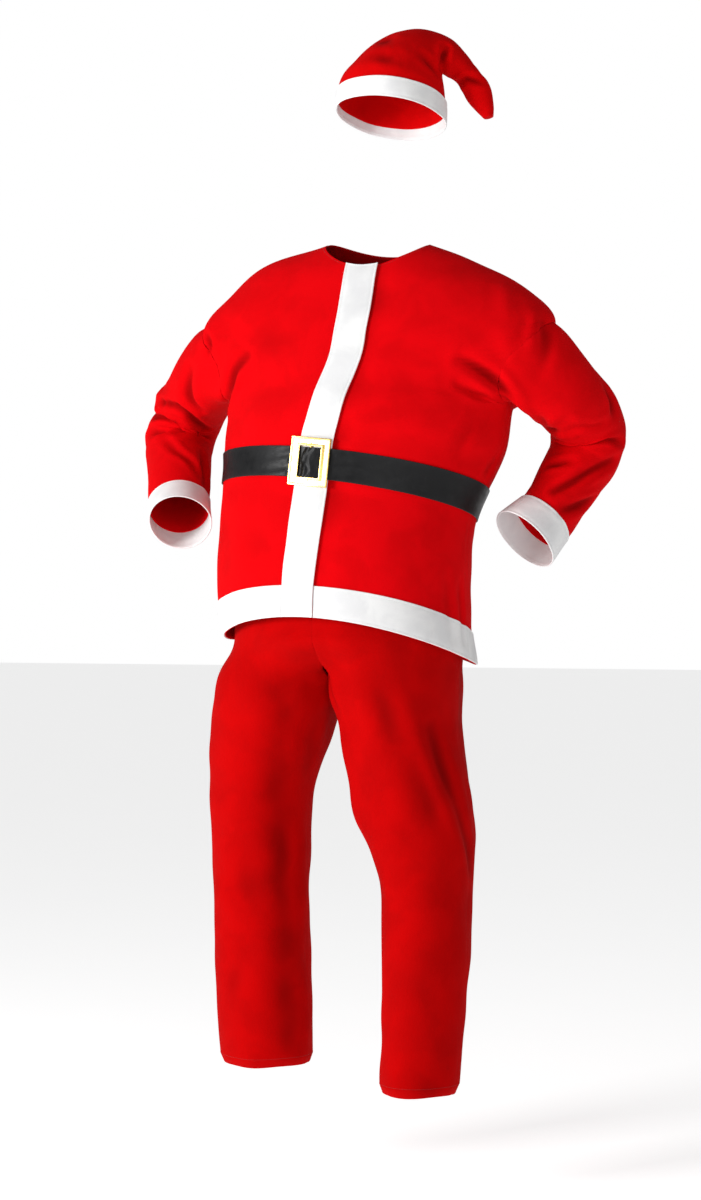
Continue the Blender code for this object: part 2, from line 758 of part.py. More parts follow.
def buckle_frame():
    """The buckle's place on the body: its middle, and the ways across, out and up."""
    angle = buckle_angle()
    middle, _ = jacket_at(angle, BELT + BUCKLE_RISE)
    across = unit(jacket_at(angle + 4, BELT)[0] - jacket_at(angle - 4, BELT)[0])
    top, bottom = (jacket_at(angle, BELT + h * BUCKLE_HEIGHT)[0] for h in (0.5, -0.5))
    rise = top - bottom
    out = unit(np.cross(across, rise))
    return middle, across, out, np.cross(out, across)


def buckle_seat(middle, out):
    """How far out the buckle's back must be to clear the strap and the band behind it."""
    reach = 0.0
    for metres in np.linspace(-BUCKLE_WIDTH / 2, BUCKLE_WIDTH / 2, 17):
        for height in np.linspace(-BUCKLE_HEIGHT / 2, BUCKLE_HEIGHT / 2, 13):
            point, normal = jacket_at(buckle_angle(metres), BELT + BUCKLE_RISE + height)
            on_band = abs(metres + BUCKLE_ASIDE) < BAND_WIDTH / 2
            outside = 2 * SEAM + TRIM if on_band else SEAM
            beside_opening = abs(metres) > BUCKLE_OPENING_WIDTH / 2
            if abs(height) < BELT_WIDTH / 2 + BUCKLE_RISE + SEAM and beside_opening:
                outside = strap_lift(metres) + STRAP + SEAM
            elif abs(height) < BUCKLE_OPENING_HEIGHT / 2:
                continue
            reach = max(reach, float((point + normal * outside - middle) @ out))
    return reach + SEAM


def make_buckle(finish):
    """A flat frame over the strap, with the bar that the strap runs over behind it."""
    middle, across, out, up = buckle_frame()
    seat = buckle_seat(middle, out)
    bar_back = 2 * SEAM + TRIM + BAR_STAND_OFF
    bar_depth = max(seat + SEAM - bar_back, BAR_DEPTH)
    frame = box(
        "belt_buckle",
        finish,
        (BUCKLE_WIDTH, BUCKLE_DEPTH, BUCKLE_HEIGHT),
        (0, -seat - BUCKLE_DEPTH / 2, 0),
    )
    opening = box(
        "buckle_opening",
        finish,
        (BUCKLE_OPENING_WIDTH, 3 * BUCKLE_DEPTH, BUCKLE_OPENING_HEIGHT),
        (0, -seat - BUCKLE_DEPTH / 2, 0),
    )
    bar = box(
        "buckle_bar", finish, (BAR_WIDTH, BAR_DEPTH, BAR_HEIGHT), (0, -bar_back - BAR_DEPTH / 2, 0)
    )
    boolean(frame, "DIFFERENCE", opening)
    edges = frame.modifiers.new("edges", "BEVEL")
    edges.width = BUCKLE_BEVEL
    edges.segments = 2
    edges.limit_method = "ANGLE"
    for end in (-1, 1):
        lug = box(
            f"buckle_lug_{end}",
            finish,
            (BAR_WIDTH, bar_depth + BUCKLE_DEPTH / 2, 0.004),
            (0, -bar_back - bar_depth / 2 - BUCKLE_DEPTH / 4, end * (BAR_HEIGHT / 2 - 0.0025)),
        )
        lug.matrix_world = placed(middle, across, out, up)
        boolean(frame, "UNION", lug)
    for obj in (frame, opening, bar):
        obj.matrix_world = placed(middle, across, out, up)
    boolean(frame, "UNION", bar)


def placed(middle, across, out, up):
    matrix = np.eye(4)
    matrix[:3, 0], matrix[:3, 1], matrix[:3, 2], matrix[:3, 3] = across, -out, up, middle
    return Matrix(matrix.tolist())


# ---------------------------------------------------------------- trousers


def leg_point(side, rows, front, s, level):
    """A point on a trouser leg's ring: s from the inseam (0) to the outseam (1)."""
    row = smooth(rows, level)
    across, ahead = -math.cos(math.pi * s) * side, math.sin(math.pi * s) * front
    return np.array(
        (row.centre_x + row.half_width * across, row.centre_y - row.half_depth * ahead, level)
    )


def hip_point(side, front, s, level):
    """A point on the seat: s from the centre seam (0) to the outseam (1)."""
    angle = side * 90 * s if front > 0 else side * (180 - 90 * s)
    return body_point(HIPS, angle, level)


def trouser_point(side, rows, front, s, level):
    mix = 1 - ease(level, CROTCH, RISE_TOP)
    point = leg_point(side, rows, front, s, level)
    if mix < 1:
        point = point * mix + hip_point(side, front, s, level) * (1 - mix)
        middle = RISE_X * mix + smooth(HIPS, level).centre_x * (1 - mix)
        point[0] = middle + side * max(side * (point[0] - middle), 0.0)
    return point


def trouser_place(side, rows, front, s, level):
    """A place on a trouser panel, half a seam's gap in from its edges."""
    point = partial(trouser_point, side, rows, front)
    _, normal = with_normal(point, float(np.clip(s, 0.01, 0.99)), level, side * front)
    place = point(s, level)
    place[1] -= front * SEAM / 2
    if level >= CROTCH:
        place[0] += side * SEAM / 2
    return place, normal


def seat_levels():
    return np.linspace(CROTCH, WAIST, SEAT_ROWS)


def make_trousers(finish):
    for name, rows in LEGS.items():
        side = 1 if name == "left" else -1
        levels = [*np.linspace(rows[0].level, CROTCH, LEG_ROWS), *seat_levels()[1:]]
        for piece, front in (("front", 1), ("back", -1)):
            shares = np.linspace(0, 1, LEG_COLUMNS + 1)[:: side * front]
            grid = [
                [trouser_place(side, rows, front, s, level) for s in shares] for level in levels
            ]
            wall(f"trouser_{piece}_{name}", finish, grid, -CLOTH, 0.0)


def make_waistband(finish):
    """The elastic's casing, inside the top of the trousers."""
    hips = partial(body_point, HIPS)
    angles = np.linspace(0, 360, 4 * LEG_COLUMNS + 1)
    grid = [[with_normal(hips, angle, level) for angle in angles] for level in seat_levels()[-2:]]
    wall("waistband", finish, grid, -2 * CLOTH - 1.5 * SEAM, -CLOTH - 1.5 * SEAM, closed=True)


# ---------------------------------------------------------------- hat


def hat_point(turn, at):
    """A point on the hat: round it from the wearer's left, and from its edge (0) to its tail's end."""
    rows = [(k, *row) for k, row in enumerate(HAT)]
    low = int(np.clip(math.floor(at), 0, len(rows) - 2))
    row = (1 - (at - low)) * np.array(rows[low]) + (at - low) * np.array(rows[low + 1])
    _, low_across, low_height, high_across, high_height, half_depth, lift = row
    beside, ahead = math.cos(turn), -math.sin(turn)
    across = (low_across + high_across) / 2 + beside * (high_across - low_across) / 2
    height = (low_height + high_height) / 2 + beside * (high_height - low_height) / 2
    depth = half_depth * ahead
    cos, sin = math.cos(HAT_TURN), math.sin(HAT_TURN)
    return np.array((across * cos + depth * sin, across * sin - depth * cos, height + lift * ahead))


def hat_rings(start, end, count):
    grid = []
    for at in np.linspace(start, end, count + 1):
        ring = []
        for k in range(HAT_SIDES + 1):
            turn = 2 * math.pi * k / HAT_SIDES
            _, normal = with_normal(hat_point, turn, float(np.clip(at, 0.01, len(HAT) - 1.01)))
            ring.append((hat_point(turn, at), normal))
        grid.append(ring)
    return grid


def make_hat(red, white):
    crown = hat_rings(0.5, len(HAT) - 1, 2 * len(HAT) - 3)
    band = hat_rings(0.0, 1.0, 2)
    wall("hat_crown", red, crown, -CLOTH, 0.0, closed=True, capped=True)
    wall("hat_band", white, band, SEAM, SEAM + TRIM, closed=True)


# ---------------------------------------------------------------- the suit


def main():
    for obj in list(bpy.data.objects):
        bpy.data.objects.remove(obj, do_unlink=True)
    suit = bpy.data.collections.new("santa_suit")
    bpy.context.scene.collection.children.link(suit)
    finishes = make_materials()
    make_body(finishes["red"])
    make_hem_bands(finishes["white"])
    make_front_band(finishes["white"])
    make_sleeves(finishes["red"], finishes["white"])
    make_strap(finishes["black"])
    make_buckle(finishes["gold"])
    make_trousers(finishes["red"])
    make_waistband(finishes["red"])
    make_hat(finishes["red"], finishes["white"])


main()
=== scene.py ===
"""Looks of a santa suit as it is worn: a belted felt jacket, felt trousers and a soft hat, with white trims.

Metres, +Z up. The suit faces -Y, so the wearer's left is +X. Angles round the body start at the front
and grow towards the wearer's left. Every sheet of cloth is formed on the same surface as its CAD solid,
with the folds, seams, turned edges and stitches that the solid leaves out.
"""

import logging
import math
from collections.abc import Callable, Mapping, Sequence
from dataclasses import dataclass, field
from enum import Enum
from functools import cache, cached_property, partial
from typing import NamedTuple

import bmesh
import bpy
import numpy as np
from bpy.types import Camera, Light, Material, Mesh, Node, NodeSocket, NodeTree, Object, Scene
from mathutils import Matrix, Vector


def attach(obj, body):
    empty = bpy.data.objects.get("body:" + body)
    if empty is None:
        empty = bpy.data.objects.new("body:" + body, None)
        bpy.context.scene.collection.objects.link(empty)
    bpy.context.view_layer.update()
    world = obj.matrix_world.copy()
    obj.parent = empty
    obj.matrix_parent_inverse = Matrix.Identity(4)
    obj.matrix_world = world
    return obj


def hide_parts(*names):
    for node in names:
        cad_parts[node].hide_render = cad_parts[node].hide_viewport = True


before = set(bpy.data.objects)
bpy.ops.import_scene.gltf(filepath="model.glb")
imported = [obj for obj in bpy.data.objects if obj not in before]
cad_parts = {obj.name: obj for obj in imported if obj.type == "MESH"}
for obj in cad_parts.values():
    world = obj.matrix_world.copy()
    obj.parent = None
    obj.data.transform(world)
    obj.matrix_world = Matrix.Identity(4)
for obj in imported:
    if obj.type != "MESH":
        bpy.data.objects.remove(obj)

LOG = logging.getLogger("santa_suit")
BODY = "root"

# ---- the suit's sizes

CLOTH, TRIM, STRAP = 0.002, 0.0025, 0.0018  # thickness of red felt, white felt and vinyl
SEAM = 0.0003  # gap between pieces
SEWN_GAP = 0.00006  # gap where two panels are sewn edge to edge
BAND_WIDTH, BELT_WIDTH = 0.056, 0.049
LAP_EASE = 0.040  # how far past the front band the left front comes up to the body's form
ARMHOLE_HALF_ANGLE = 24.0  # degrees round the body from an armhole's middle to its edge
ARMHOLE_RADIUS = 0.058  # its mean radius on the cloth
ARMHOLE_GAP = 0.0005  # how far inside it a sleeve starts
CAP_LENGTH = 0.11  # how far down a sleeve its cap swings into the round tube
CAP_LEAN = 1.5  # how much the cap leans along the sleeve as it leaves the armhole
EASE_REACH = 0.080  # how far each side of an armhole the cloth spans the hollow
EASE_LEAST = 0.12  # the share of that at the armpit and on the shoulder
EASE_RISE, EASE_FALL = (8, 55), (112, 162)  # degrees up from the armpit where it grows and fades
FOLD_DEPTH = 0.009  # how deep a fold is where its painted shade is darkest
SLEEVE_RADIUS = 0.058  # the sleeves' mean radius, for lines on the sleeve laid flat
SLEEVE_COLUMNS = 89  # places round a sleeve
HEM_TURN, HEM_LEAN = 97.0, 20.0  # the angle where the skirt levels off behind, and its change to the left
HEM_SOFT = 8.0  # degrees over which it does
LEVELLING = (-0.245, -0.205)  # the levels between which that fades out
HEM_TUCK, HEM_ROUND = 0.0055, 0.016  # how far a trouser leg's hem is drawn in, and over what height


def table(kind: type, *rows: tuple) -> tuple:
    """A table of rows of this kind."""
    return tuple(kind(*row) for row in rows)


class BandPlace(NamedTuple):
    """Where the middle of the front band is at one level."""

    level: float
    angle: float


BAND = table(
    BandPlace,
    (-0.607, -5.2), (-0.54, -1.3), (-0.48, 0.6), (-0.4, 1.4), (-0.36, 0.9), (-0.3, -1.0), (-0.25, -0.9),
    (-0.19, 1.1), (-0.14, 0.4), (-0.034, 0.5)
)


class Section(NamedTuple):
    """One ring round the body, named by its height at the front."""

    level: float
    centre_x: float
    centre_y: float
    half_width: float
    front: float
    back: float
    back_drop: float = 0.0
    left_drop: float = 0.0
    side_lift: float = 0.0


JACKET = table(
    Section,
    (-0.607, -0.0485, -0.006, 0.21, 0.18, 0.186, 0.079, 0.011, -0.021),
    (-0.556, -0.057, -0.006, 0.213, 0.182, 0.185, 0.105, 0.008, -0.007),
    (-0.48, -0.058, -0.006, 0.216, 0.179, 0.18, 0.088, 0.013, -0.002),
    (-0.405, -0.053, -0.004, 0.215, 0.173, 0.17, 0.068, 0.021, 0.0),
    (-0.36, -0.0455, -0.003, 0.2195, 0.171, 0.166, 0.072, 0.023, 0.0),
    (-0.325, -0.0355, -0.003, 0.229, 0.172, 0.168, 0.066, 0.021, 0.0),
    (-0.29, -0.0215, -0.002, 0.2405, 0.174, 0.172, 0.05, 0.012, 0.0),
    (-0.255, -0.015, 0.0, 0.243, 0.166, 0.162, 0.02, 0.002, 0.0),
    (-0.232, -0.012, 0.002, 0.243, 0.158, 0.152, 0.01, 0.004, -0.01),
    (-0.195, -0.008, 0.004, 0.268, 0.146, 0.14, 0.002, 0.006, 0.004),
    (-0.155, -0.004, 0.005, 0.305, 0.131, 0.128, -0.008, 0.008, 0.026),
    (-0.112, 0.0, 0.005, 0.264, 0.116, 0.114, -0.016, 0.01, 0.031),
    (-0.078, 0.0, 0.004, 0.211, 0.101, 0.098, -0.022, 0.012, 0.032),
    (-0.052, 0.0, 0.002, 0.148, 0.088, 0.082, -0.028, 0.009, 0.028),
    (-0.034, 0.0, 0.0, 0.088, 0.076, 0.068, -0.03, 0.005, 0.028),
)
HEM, NECK = JACKET[0].level, JACKET[-1].level
BELT_ROW = JACKET[4]
BELT = BELT_ROW.level
ARMPIT, SHOULDER = JACKET[8].level, JACKET[10].level

HIPS = table(
    Section,
    (-0.8, -0.0695, 0.0, 0.209, 0.15, 0.16),
    (-0.738, -0.067, 0.0, 0.209, 0.163, 0.17),
    (-0.7, -0.0565, 0.0, 0.1985, 0.166, 0.14),
    (-0.674, -0.0515, 0.0, 0.1955, 0.165, 0.135),
    (-0.64, -0.051, 0.0, 0.196, 0.163, 0.152),
    (-0.56, -0.052, 0.0, 0.196, 0.16, 0.164),
    (-0.48, -0.05, 0.0, 0.188, 0.152, 0.154),
    (-0.42, -0.047, 0.0, 0.18, 0.144, 0.144),
)
WAIST = HIPS[-1].level
CROTCH, RISE_TOP, RISE_X = -0.742, -0.64, -0.0695


class LegSection(NamedTuple):
    """One ring round a trouser leg."""

    level: float
    centre_x: float
    centre_y: float
    half_width: float
    half_depth: float


LEGS = {
    "right": table(
        LegSection,
        (-1.354, -0.2, 0.0, 0.077, 0.079),
        (-1.314, -0.201, 0.0, 0.078, 0.082),
        (-1.152, -0.2076, 0.0, 0.079, 0.088),
        (-1.0, -0.209, 0.0, 0.0805, 0.093),
        (-0.886, -0.205, 0.0, 0.0865, 0.104),
        (-0.819, -0.192, 0.0, 0.097, 0.118),
        (-0.778, -0.183, 0.0, 0.101, 0.128),
        (-0.742, -0.1745, 0.0, 0.105, 0.135),
        (-0.64, -0.1745, 0.0, 0.105, 0.15),
    ),
    "left": table(
        LegSection,
        (-1.367, 0.1097, -0.104, 0.0591, 0.07),
        (-1.271, 0.1065, -0.078, 0.064, 0.077),
        (-1.158, 0.1045, -0.052, 0.0695, 0.086),
        (-1.032, 0.094, -0.028, 0.0761, 0.096),
        (-0.988, 0.086, -0.022, 0.0836, 0.103),
        (-0.94, 0.073, -0.018, 0.093, 0.112),
        (-0.878, 0.0611, -0.011, 0.0965, 0.118),
        (-0.814, 0.0477, -0.004, 0.0979, 0.124),
        (-0.775, 0.0408, 0.0, 0.099, 0.129),
        (-0.742, 0.0355, 0.0, 0.105, 0.135),
        (-0.64, 0.0355, 0.0, 0.105, 0.15),
    ),
}


class Arm(NamedTuple):
    """A sleeve's path, with straight runs between rounded corners, and its sizes along it."""

    side: int
    corners: tuple
    bends: tuple
    radii: tuple


ARMS = {
    "right": Arm(
        side=-1,
        corners=(
            (-0.27, 0.0, -0.184), (-0.3095, 0.018, -0.1945), (-0.433, 0.135, -0.274),
            (-0.3352, -0.057, -0.4495)
        ),
        bends=(0.12, 0.058),
        radii=(
            (0.0, 0.062, 0.07), (0.25, 0.0555, 0.066), (0.52, 0.06, 0.06), (0.75, 0.053, 0.053),
            (0.88, 0.05, 0.051), (1.0, 0.05, 0.055)
        ),
    ),
    "left": Arm(
        side=1,
        corners=(
            (0.268, 0.0, -0.188), (0.2955, 0.022, -0.2245), (0.333, 0.165, -0.3), (0.269, 0.072, -0.443),
            (0.2415, 0.0395, -0.48)
        ),
        bends=(0.11, 0.058, 0.07),
        radii=(
            (0.0, 0.064, 0.071), (0.25, 0.0625, 0.068), (0.5, 0.0615, 0.066), (0.65, 0.0535, 0.056),
            (0.78, 0.05, 0.05), (0.88, 0.052, 0.052), (1.0, 0.057, 0.06)
        ),
    ),
}


class HatSection(NamedTuple):
    """One ring of the hat: its two ends across the head, and its half depth from back to front."""

    at: float
    low_across: float
    low_height: float
    high_across: float
    high_height: float
    half_depth: float
    front_lift: float


HAT = table(
    HatSection,
    (0, -0.067, 0.231, 0.11, 0.205, 0.094, 0.017),
    (1, -0.0665, 0.262, 0.1095, 0.241, 0.0935, 0.017),
    (2, -0.059, 0.285, 0.109, 0.252, 0.092, 0.015),
    (3, -0.043, 0.305, 0.108, 0.264, 0.085, 0.011),
    (4, -0.019, 0.331, 0.106, 0.276, 0.075, 0.007),
    (5, 0.0199, 0.353, 0.1045, 0.286, 0.062, 0.003),
    (6, 0.0579, 0.364, 0.1076, 0.292, 0.05, 0.0),
    (7, 0.0911, 0.36, 0.1165, 0.287, 0.041, 0.0),
    (8, 0.1242, 0.348, 0.1275, 0.282, 0.034, 0.0),
    (9, 0.1474, 0.3245, 0.135, 0.2745, 0.028, 0.0),
    (10, 0.168, 0.293, 0.1424, 0.2616, 0.023, 0.0),
    (11, 0.1838, 0.268, 0.1523, 0.245, 0.019, 0.0),
    (12, 0.1904, 0.24, 0.1656, 0.229, 0.015, 0.0),
    (13, 0.1904, 0.2215, 0.1755, 0.2185, 0.009, 0.0),
)
HAT_END = HAT[-1].at
HAT_TURN = math.radians(22)

# ---- curves and surfaces

Array = np.ndarray
Placed = tuple[Array, Array]  # points and their normals
PointAt = Callable[[Array, Array], Array]
NUDGE = 1e-3  # step in metres or radians that finds a surface's direction


def unit(vectors: Array) -> Array:
    """The vectors at length 1."""
    return vectors / np.maximum(np.linalg.norm(vectors, axis=-1, keepdims=True), 1e-12)


def ease(value: Array | float, start: float, end: float) -> Array:
    """0 up to the start, 1 from the end on, and smooth between."""
    share = np.clip((np.asarray(value, float) - start) / (end - start), 0.0, 1.0)
    return share * share * (3 - 2 * share)


def matched(*values: Array | float) -> Sequence[Array]:
    """The values as arrays of one shape."""
    return np.broadcast_arrays(*(np.asarray(value, float) for value in values))


def distances(points: Array, axis: int = 0) -> Array:
    """Each point's distance from the first one, along one axis of the array."""
    steps = np.linalg.norm(np.diff(points, axis=axis), axis=-1)
    before = [(int(k == axis), 0) for k in range(steps.ndim)]
    return np.pad(np.cumsum(steps, axis=axis), before)


def hermite(f: Array | float, ends: Sequence[Array], slopes: Sequence[Array]) -> Array:
    """The cubic at shares f between two ends, which has these slopes there."""
    return (
        (1 + 2 * f) * (1 - f) ** 2 * ends[0]
        + f * (1 - f) ** 2 * slopes[0]
        + f * f * (3 - 2 * f) * ends[1]
        + f * f * (f - 1) * slopes[1]
    )


def rows_at(rows: Sequence[NamedTuple], level: Array | float) -> NamedTuple:
    """The table's row at each level, by a cubic through its rows.

    Args:
        rows: The table, whose first field is the level.
        level: The levels that are wanted.

    Returns:
        A row of the table's type, whose fields are arrays shaped like `level`.
    """
    table = np.array(rows, float)
    at = table[:, 0]
    slopes = np.gradient(table, at, axis=0)
    level = np.asarray(level, float)
    k = np.clip(np.searchsorted(at, level) - 1, 0, len(at) - 2)
    step = (at[k + 1] - at[k])[..., None]
    share = (level - at[k])[..., None] / step
    row = hermite(share, (table[k], table[k + 1]), (step * slopes[k], step * slopes[k + 1]))
    return type(rows[0])(*np.moveaxis(row, -1, 0))


def drop_share(angle: Array, level: Array) -> Array:
    """How much of a row's back drop is reached: the skirt and the belt level off behind."""
    turn = np.degrees(np.arccos(np.cos(np.radians(angle))))
    most = HEM_TURN + HEM_LEAN * np.sin(np.radians(angle))
    levelled = -HEM_SOFT * np.log(np.exp(-turn / HEM_SOFT) + np.exp(-most / HEM_SOFT))
    share = ease(level, *LEVELLING)
    return (1 - np.cos(np.radians(levelled * (1 - share) + turn * share))) / 2


def body_points(rows: Sequence[Section], angle: Array, level: Array) -> Array:
    """Points on a body of Sections, at angles in degrees from the front."""
    angle, level = matched(angle, level)
    row = rows_at(rows, level)
    across, ahead = np.sin(np.radians(angle)), np.cos(np.radians(angle))
    depth = np.where(ahead > 0, row.front, row.back)
    drop = row.back_drop * drop_share(angle, level)
    drop = drop + row.left_drop * across - row.side_lift * across**2
    x, y = row.centre_x + row.half_width * across, row.centre_y - depth * ahead
    return np.stack((x, y, level - drop), axis=-1)


def normals_of(point: PointAt, u: Array, v: Array, du: float = NUDGE, dv: float = NUDGE) -> Array:
    """Outward normals of the surface point(u, v), whose u goes right and v up seen from outside."""
    right = point(u + du, v) - point(u - du, v)
    above = point(u, v + dv) - point(u, v - dv)
    return unit(np.cross(right, above))


# ---- folds in the cloth


@dataclass(frozen=True)
class Crease:
    """A pressed-in fold along a line on the cloth, with soft ridges beside it.

    Attributes:
        line: Points along its bottom, in metres.
        depth: How deep it is pressed; a negative depth is a ridge.
        width: Half its width.
    """

    line: tuple
    depth: float
    width: float

    @cached_property
    def spine(self) -> Array:
        """The line's points as a smooth curve."""
        points = np.array(self.line, float)
        if len(points) < 3:
            return points
        slopes = np.gradient(points, axis=0)
        fine = np.linspace(0, len(points) - 1, 5 * (len(points) - 1) + 1)
        k = np.minimum(fine.astype(int), len(points) - 2)
        share = (fine - np.arange(len(points))[k])[:, None]
        return hermite(share, (points[k], points[k + 1]), (slopes[k], slopes[k + 1]))

    def profile(self, apart: Array) -> Array:
        """The fold's cut across its line, with its bottom at -1."""
        x = apart / self.width
        return -np.exp(-(x**2)) + 0.38 * np.exp(-((x - 1.9) ** 2) / 0.7)

    def at(self, points: Array) -> Array:
        """How far the cloth is pushed out at each point."""
        result = np.zeros(points.shape[:-1])
        reach = 4.5 * self.width
        low, high = self.spine.min(axis=0) - reach, self.spine.max(axis=0) + reach
        near = ((points > low) & (points < high)).all(axis=-1)
        if not near.any():
            return result
        found = points[near]
        best, share = np.full(len(found), np.inf), np.zeros(len(found))
        steps = np.linalg.norm(np.diff(self.spine, axis=0), axis=1)
        before = distances(self.spine)
        for k, (a, b) in enumerate(zip(self.spine, self.spine[1:])):
            t = np.clip((found - a) @ (b - a) / max(steps[k] ** 2, 1e-12), 0, 1)
            apart = np.linalg.norm(found - a - t[:, None] * (b - a), axis=1)
            closer = apart < best
            best = np.where(closer, apart, best)
            share = np.where(closer, (before[k] + t * steps[k]) / before[-1], share)
        taper = np.sqrt(np.clip(np.sin(math.pi * (0.06 + 0.88 * share)), 0, 1))
        result[near] = self.depth * taper * self.profile(best)
        return result


def creases(*rows: tuple) -> tuple[Crease, ...]:
    """Creases, each from its depth, its width and the points of its line, in millimetres."""
    return tuple(
        Crease(tuple(tuple(x / 1000 for x in point) for point in line), depth / 1000, width / 1000)
        for depth, width, *line in rows
    )


@dataclass(frozen=True)
class Waves:
    """Soft unevenness of hanging cloth: a sum of waves with fixed random directions.

    Attributes:
        height: The usual height.
        shortest: The shortest wave, in metres.
        longest: The longest wave.
        stretch: How much the waves vary along x, y and z.
        seed: What fixes the directions.
        count: How many waves are added up.
    """

    height: float
    shortest: float
    longest: float
    stretch: tuple = (1.0, 1.0, 1.0)
    seed: int = 1
    count: int = 14

    def at(self, points: Array) -> Array:
        """How far the cloth is pushed out at each point."""
        rng = np.random.default_rng(self.seed)
        ways = unit(rng.normal(size=(self.count, 3))) * np.array(self.stretch)
        lengths = np.geomspace(self.shortest, self.longest, self.count)
        phases = rng.uniform(0, 2 * math.pi, self.count)
        shares = (lengths / self.longest) ** 0.8
        total = np.zeros(points.shape[:-1])
        for way, length, phase, share in zip(ways, lengths, phases, shares):
            total += share * np.sin(2 * math.pi / length * (points @ way) + phase)
        return self.height * total / math.sqrt((shares**2).sum() / 2)


@dataclass(frozen=True)
class Relief:
    """Everything that pushes one garment's cloth in or out of its plain form.

    Attributes:
        creases: The folds.
        waves: The soft unevenness.
        limit: A mask by place, which damps the relief where something lies on the cloth.
        extra: More relief by place.
        flat_creases: Folds whose lines are on the cloth laid flat, for a sheet that gives its flat places.
    """

    creases: tuple = ()
    waves: tuple = ()
    limit: Callable[[Array], Array] | None = None
    extra: Callable[[Array], Array] | None = None
    flat_creases: tuple = ()

    def on(self, grid: "Grid") -> Array:
        """How far the cloth is pushed out at each place of a grid."""
        total = self.at(grid.points)
        if grid.flat is not None:
            total = sum((crease.at(grid.flat) for crease in self.flat_creases), total)
        return total

    def at(self, points: Array) -> Array:
        """How far the cloth is pushed out at each point."""
        parts = (*self.creases, *self.waves)
        total = sum((part.at(points) for part in parts), np.zeros(points.shape[:-1]))
        if self.extra:
            total = total + self.extra(points)
        if self.limit:
            total = total * self.limit(points)
        return total


# ---- edges, grids and sheets


class Edge(Enum):
    """How a sheet ends."""

    SEAM = "seam"  # sewn to the next panel
    HEM = "hem"  # turned in and stitched
    CUT = "cut"  # a plain cut edge
    JOIN = "join"  # sewn where the next piece goes on smoothly


@dataclass(frozen=True)
class EdgeForm:
    """The shape of a sheet near one of its edges.

    Attributes:
        groove: Depth of the groove that a seam's pull makes.
        reach: Half that groove's width.
        stitch: Distance of the stitches from the edge, or 0 for none.
        raise_by: How much a turned hem's second layer lifts the cloth.
        rounded: Radius of the edge's rounding, as a share of the cloth's thickness.
        dent: How deep the stitches draw the cloth in.
    """

    groove: float = 0.0
    reach: float = 0.006
    stitch: float = 0.0
    raise_by: float = 0.0
    rounded: float = 0.46
    dent: float = 0.0004

    def lift(self, apart: Array, along: Array) -> Array:
        """How far the cloth is pushed out, at distances from the edge and places along it."""
        pucker = 1 + 0.35 * np.sin(along / 0.011) * np.sin(along / 0.0187 + 1.3)
        total = -self.groove * pucker * np.exp(-((apart / self.reach) ** 2))
        if self.raise_by:
            total += self.raise_by * (1 - ease(apart, self.stitch - 0.001, self.stitch + 0.002))
        if self.stitch:
            total -= self.dent * np.exp(-(((apart - self.stitch) / 0.0014) ** 2))
        return total


FORMS = {
    Edge.SEAM: EdgeForm(groove=0.0005, reach=0.0050, rounded=0.18),
    Edge.JOIN: EdgeForm(groove=0.0002, reach=0.004, rounded=0.14),
    Edge.HEM: EdgeForm(stitch=0.016, raise_by=0.0005),
    Edge.CUT: EdgeForm(stitch=0.0045),
}
STEP = 0.0042  # usual distance between a sheet's points
EDGE_RADIUS = 0.001
ROUND_STATIONS = (0, 24, 48, 70, 90)  # degrees round an edge
BESIDE_STITCH = (-0.0022, -0.001, 0.0, 0.001, 0.0022)  # rows of points beside the stitches
WEAR_REACH = 0.004  # how far from an edge its wear reaches


def spaced(
    length: float, start: Edge | None, end: Edge | None, step: float = STEP, rounding: float = EDGE_RADIUS
) -> Array:
    """Shares of a length, close together at rounded edges and beside stitches.

    Args:
        length: The length in metres.
        start: How the sheet ends at 0, or None for no edge.
        end: How it ends at the far side.
        step: The usual distance between places.
        rounding: Radius of the rounded edge.

    Returns:
        The shares from 0 to 1.
    """
    quarter = rounding * (1 - np.cos(np.radians(ROUND_STATIONS)))

    def close(edge: Edge | None) -> list[float]:
        """The distances from one edge that have places of their own."""
        if edge is None:
            return [0.0]
        stitch = FORMS[edge].stitch
        return [*quarter, *(stitch + x for x in BESIDE_STITCH if stitch)]

    low, high = close(start), [length - x for x in reversed(close(end))]
    count = max(int(round((high[0] - low[-1]) / step)), 1)
    inner = np.linspace(low[-1], high[0], count + 1)
    return np.unique(np.round([*low, *inner[1:-1], *high], 7)) / length


class Edges(NamedTuple):
    """How a sheet ends on its four sides; None is no edge."""

    left: Edge | None = None
    right: Edge | None = None
    low: Edge | None = None
    high: Edge | None = None


ENDS_CUT = Edges(low=Edge.CUT, high=Edge.CUT)


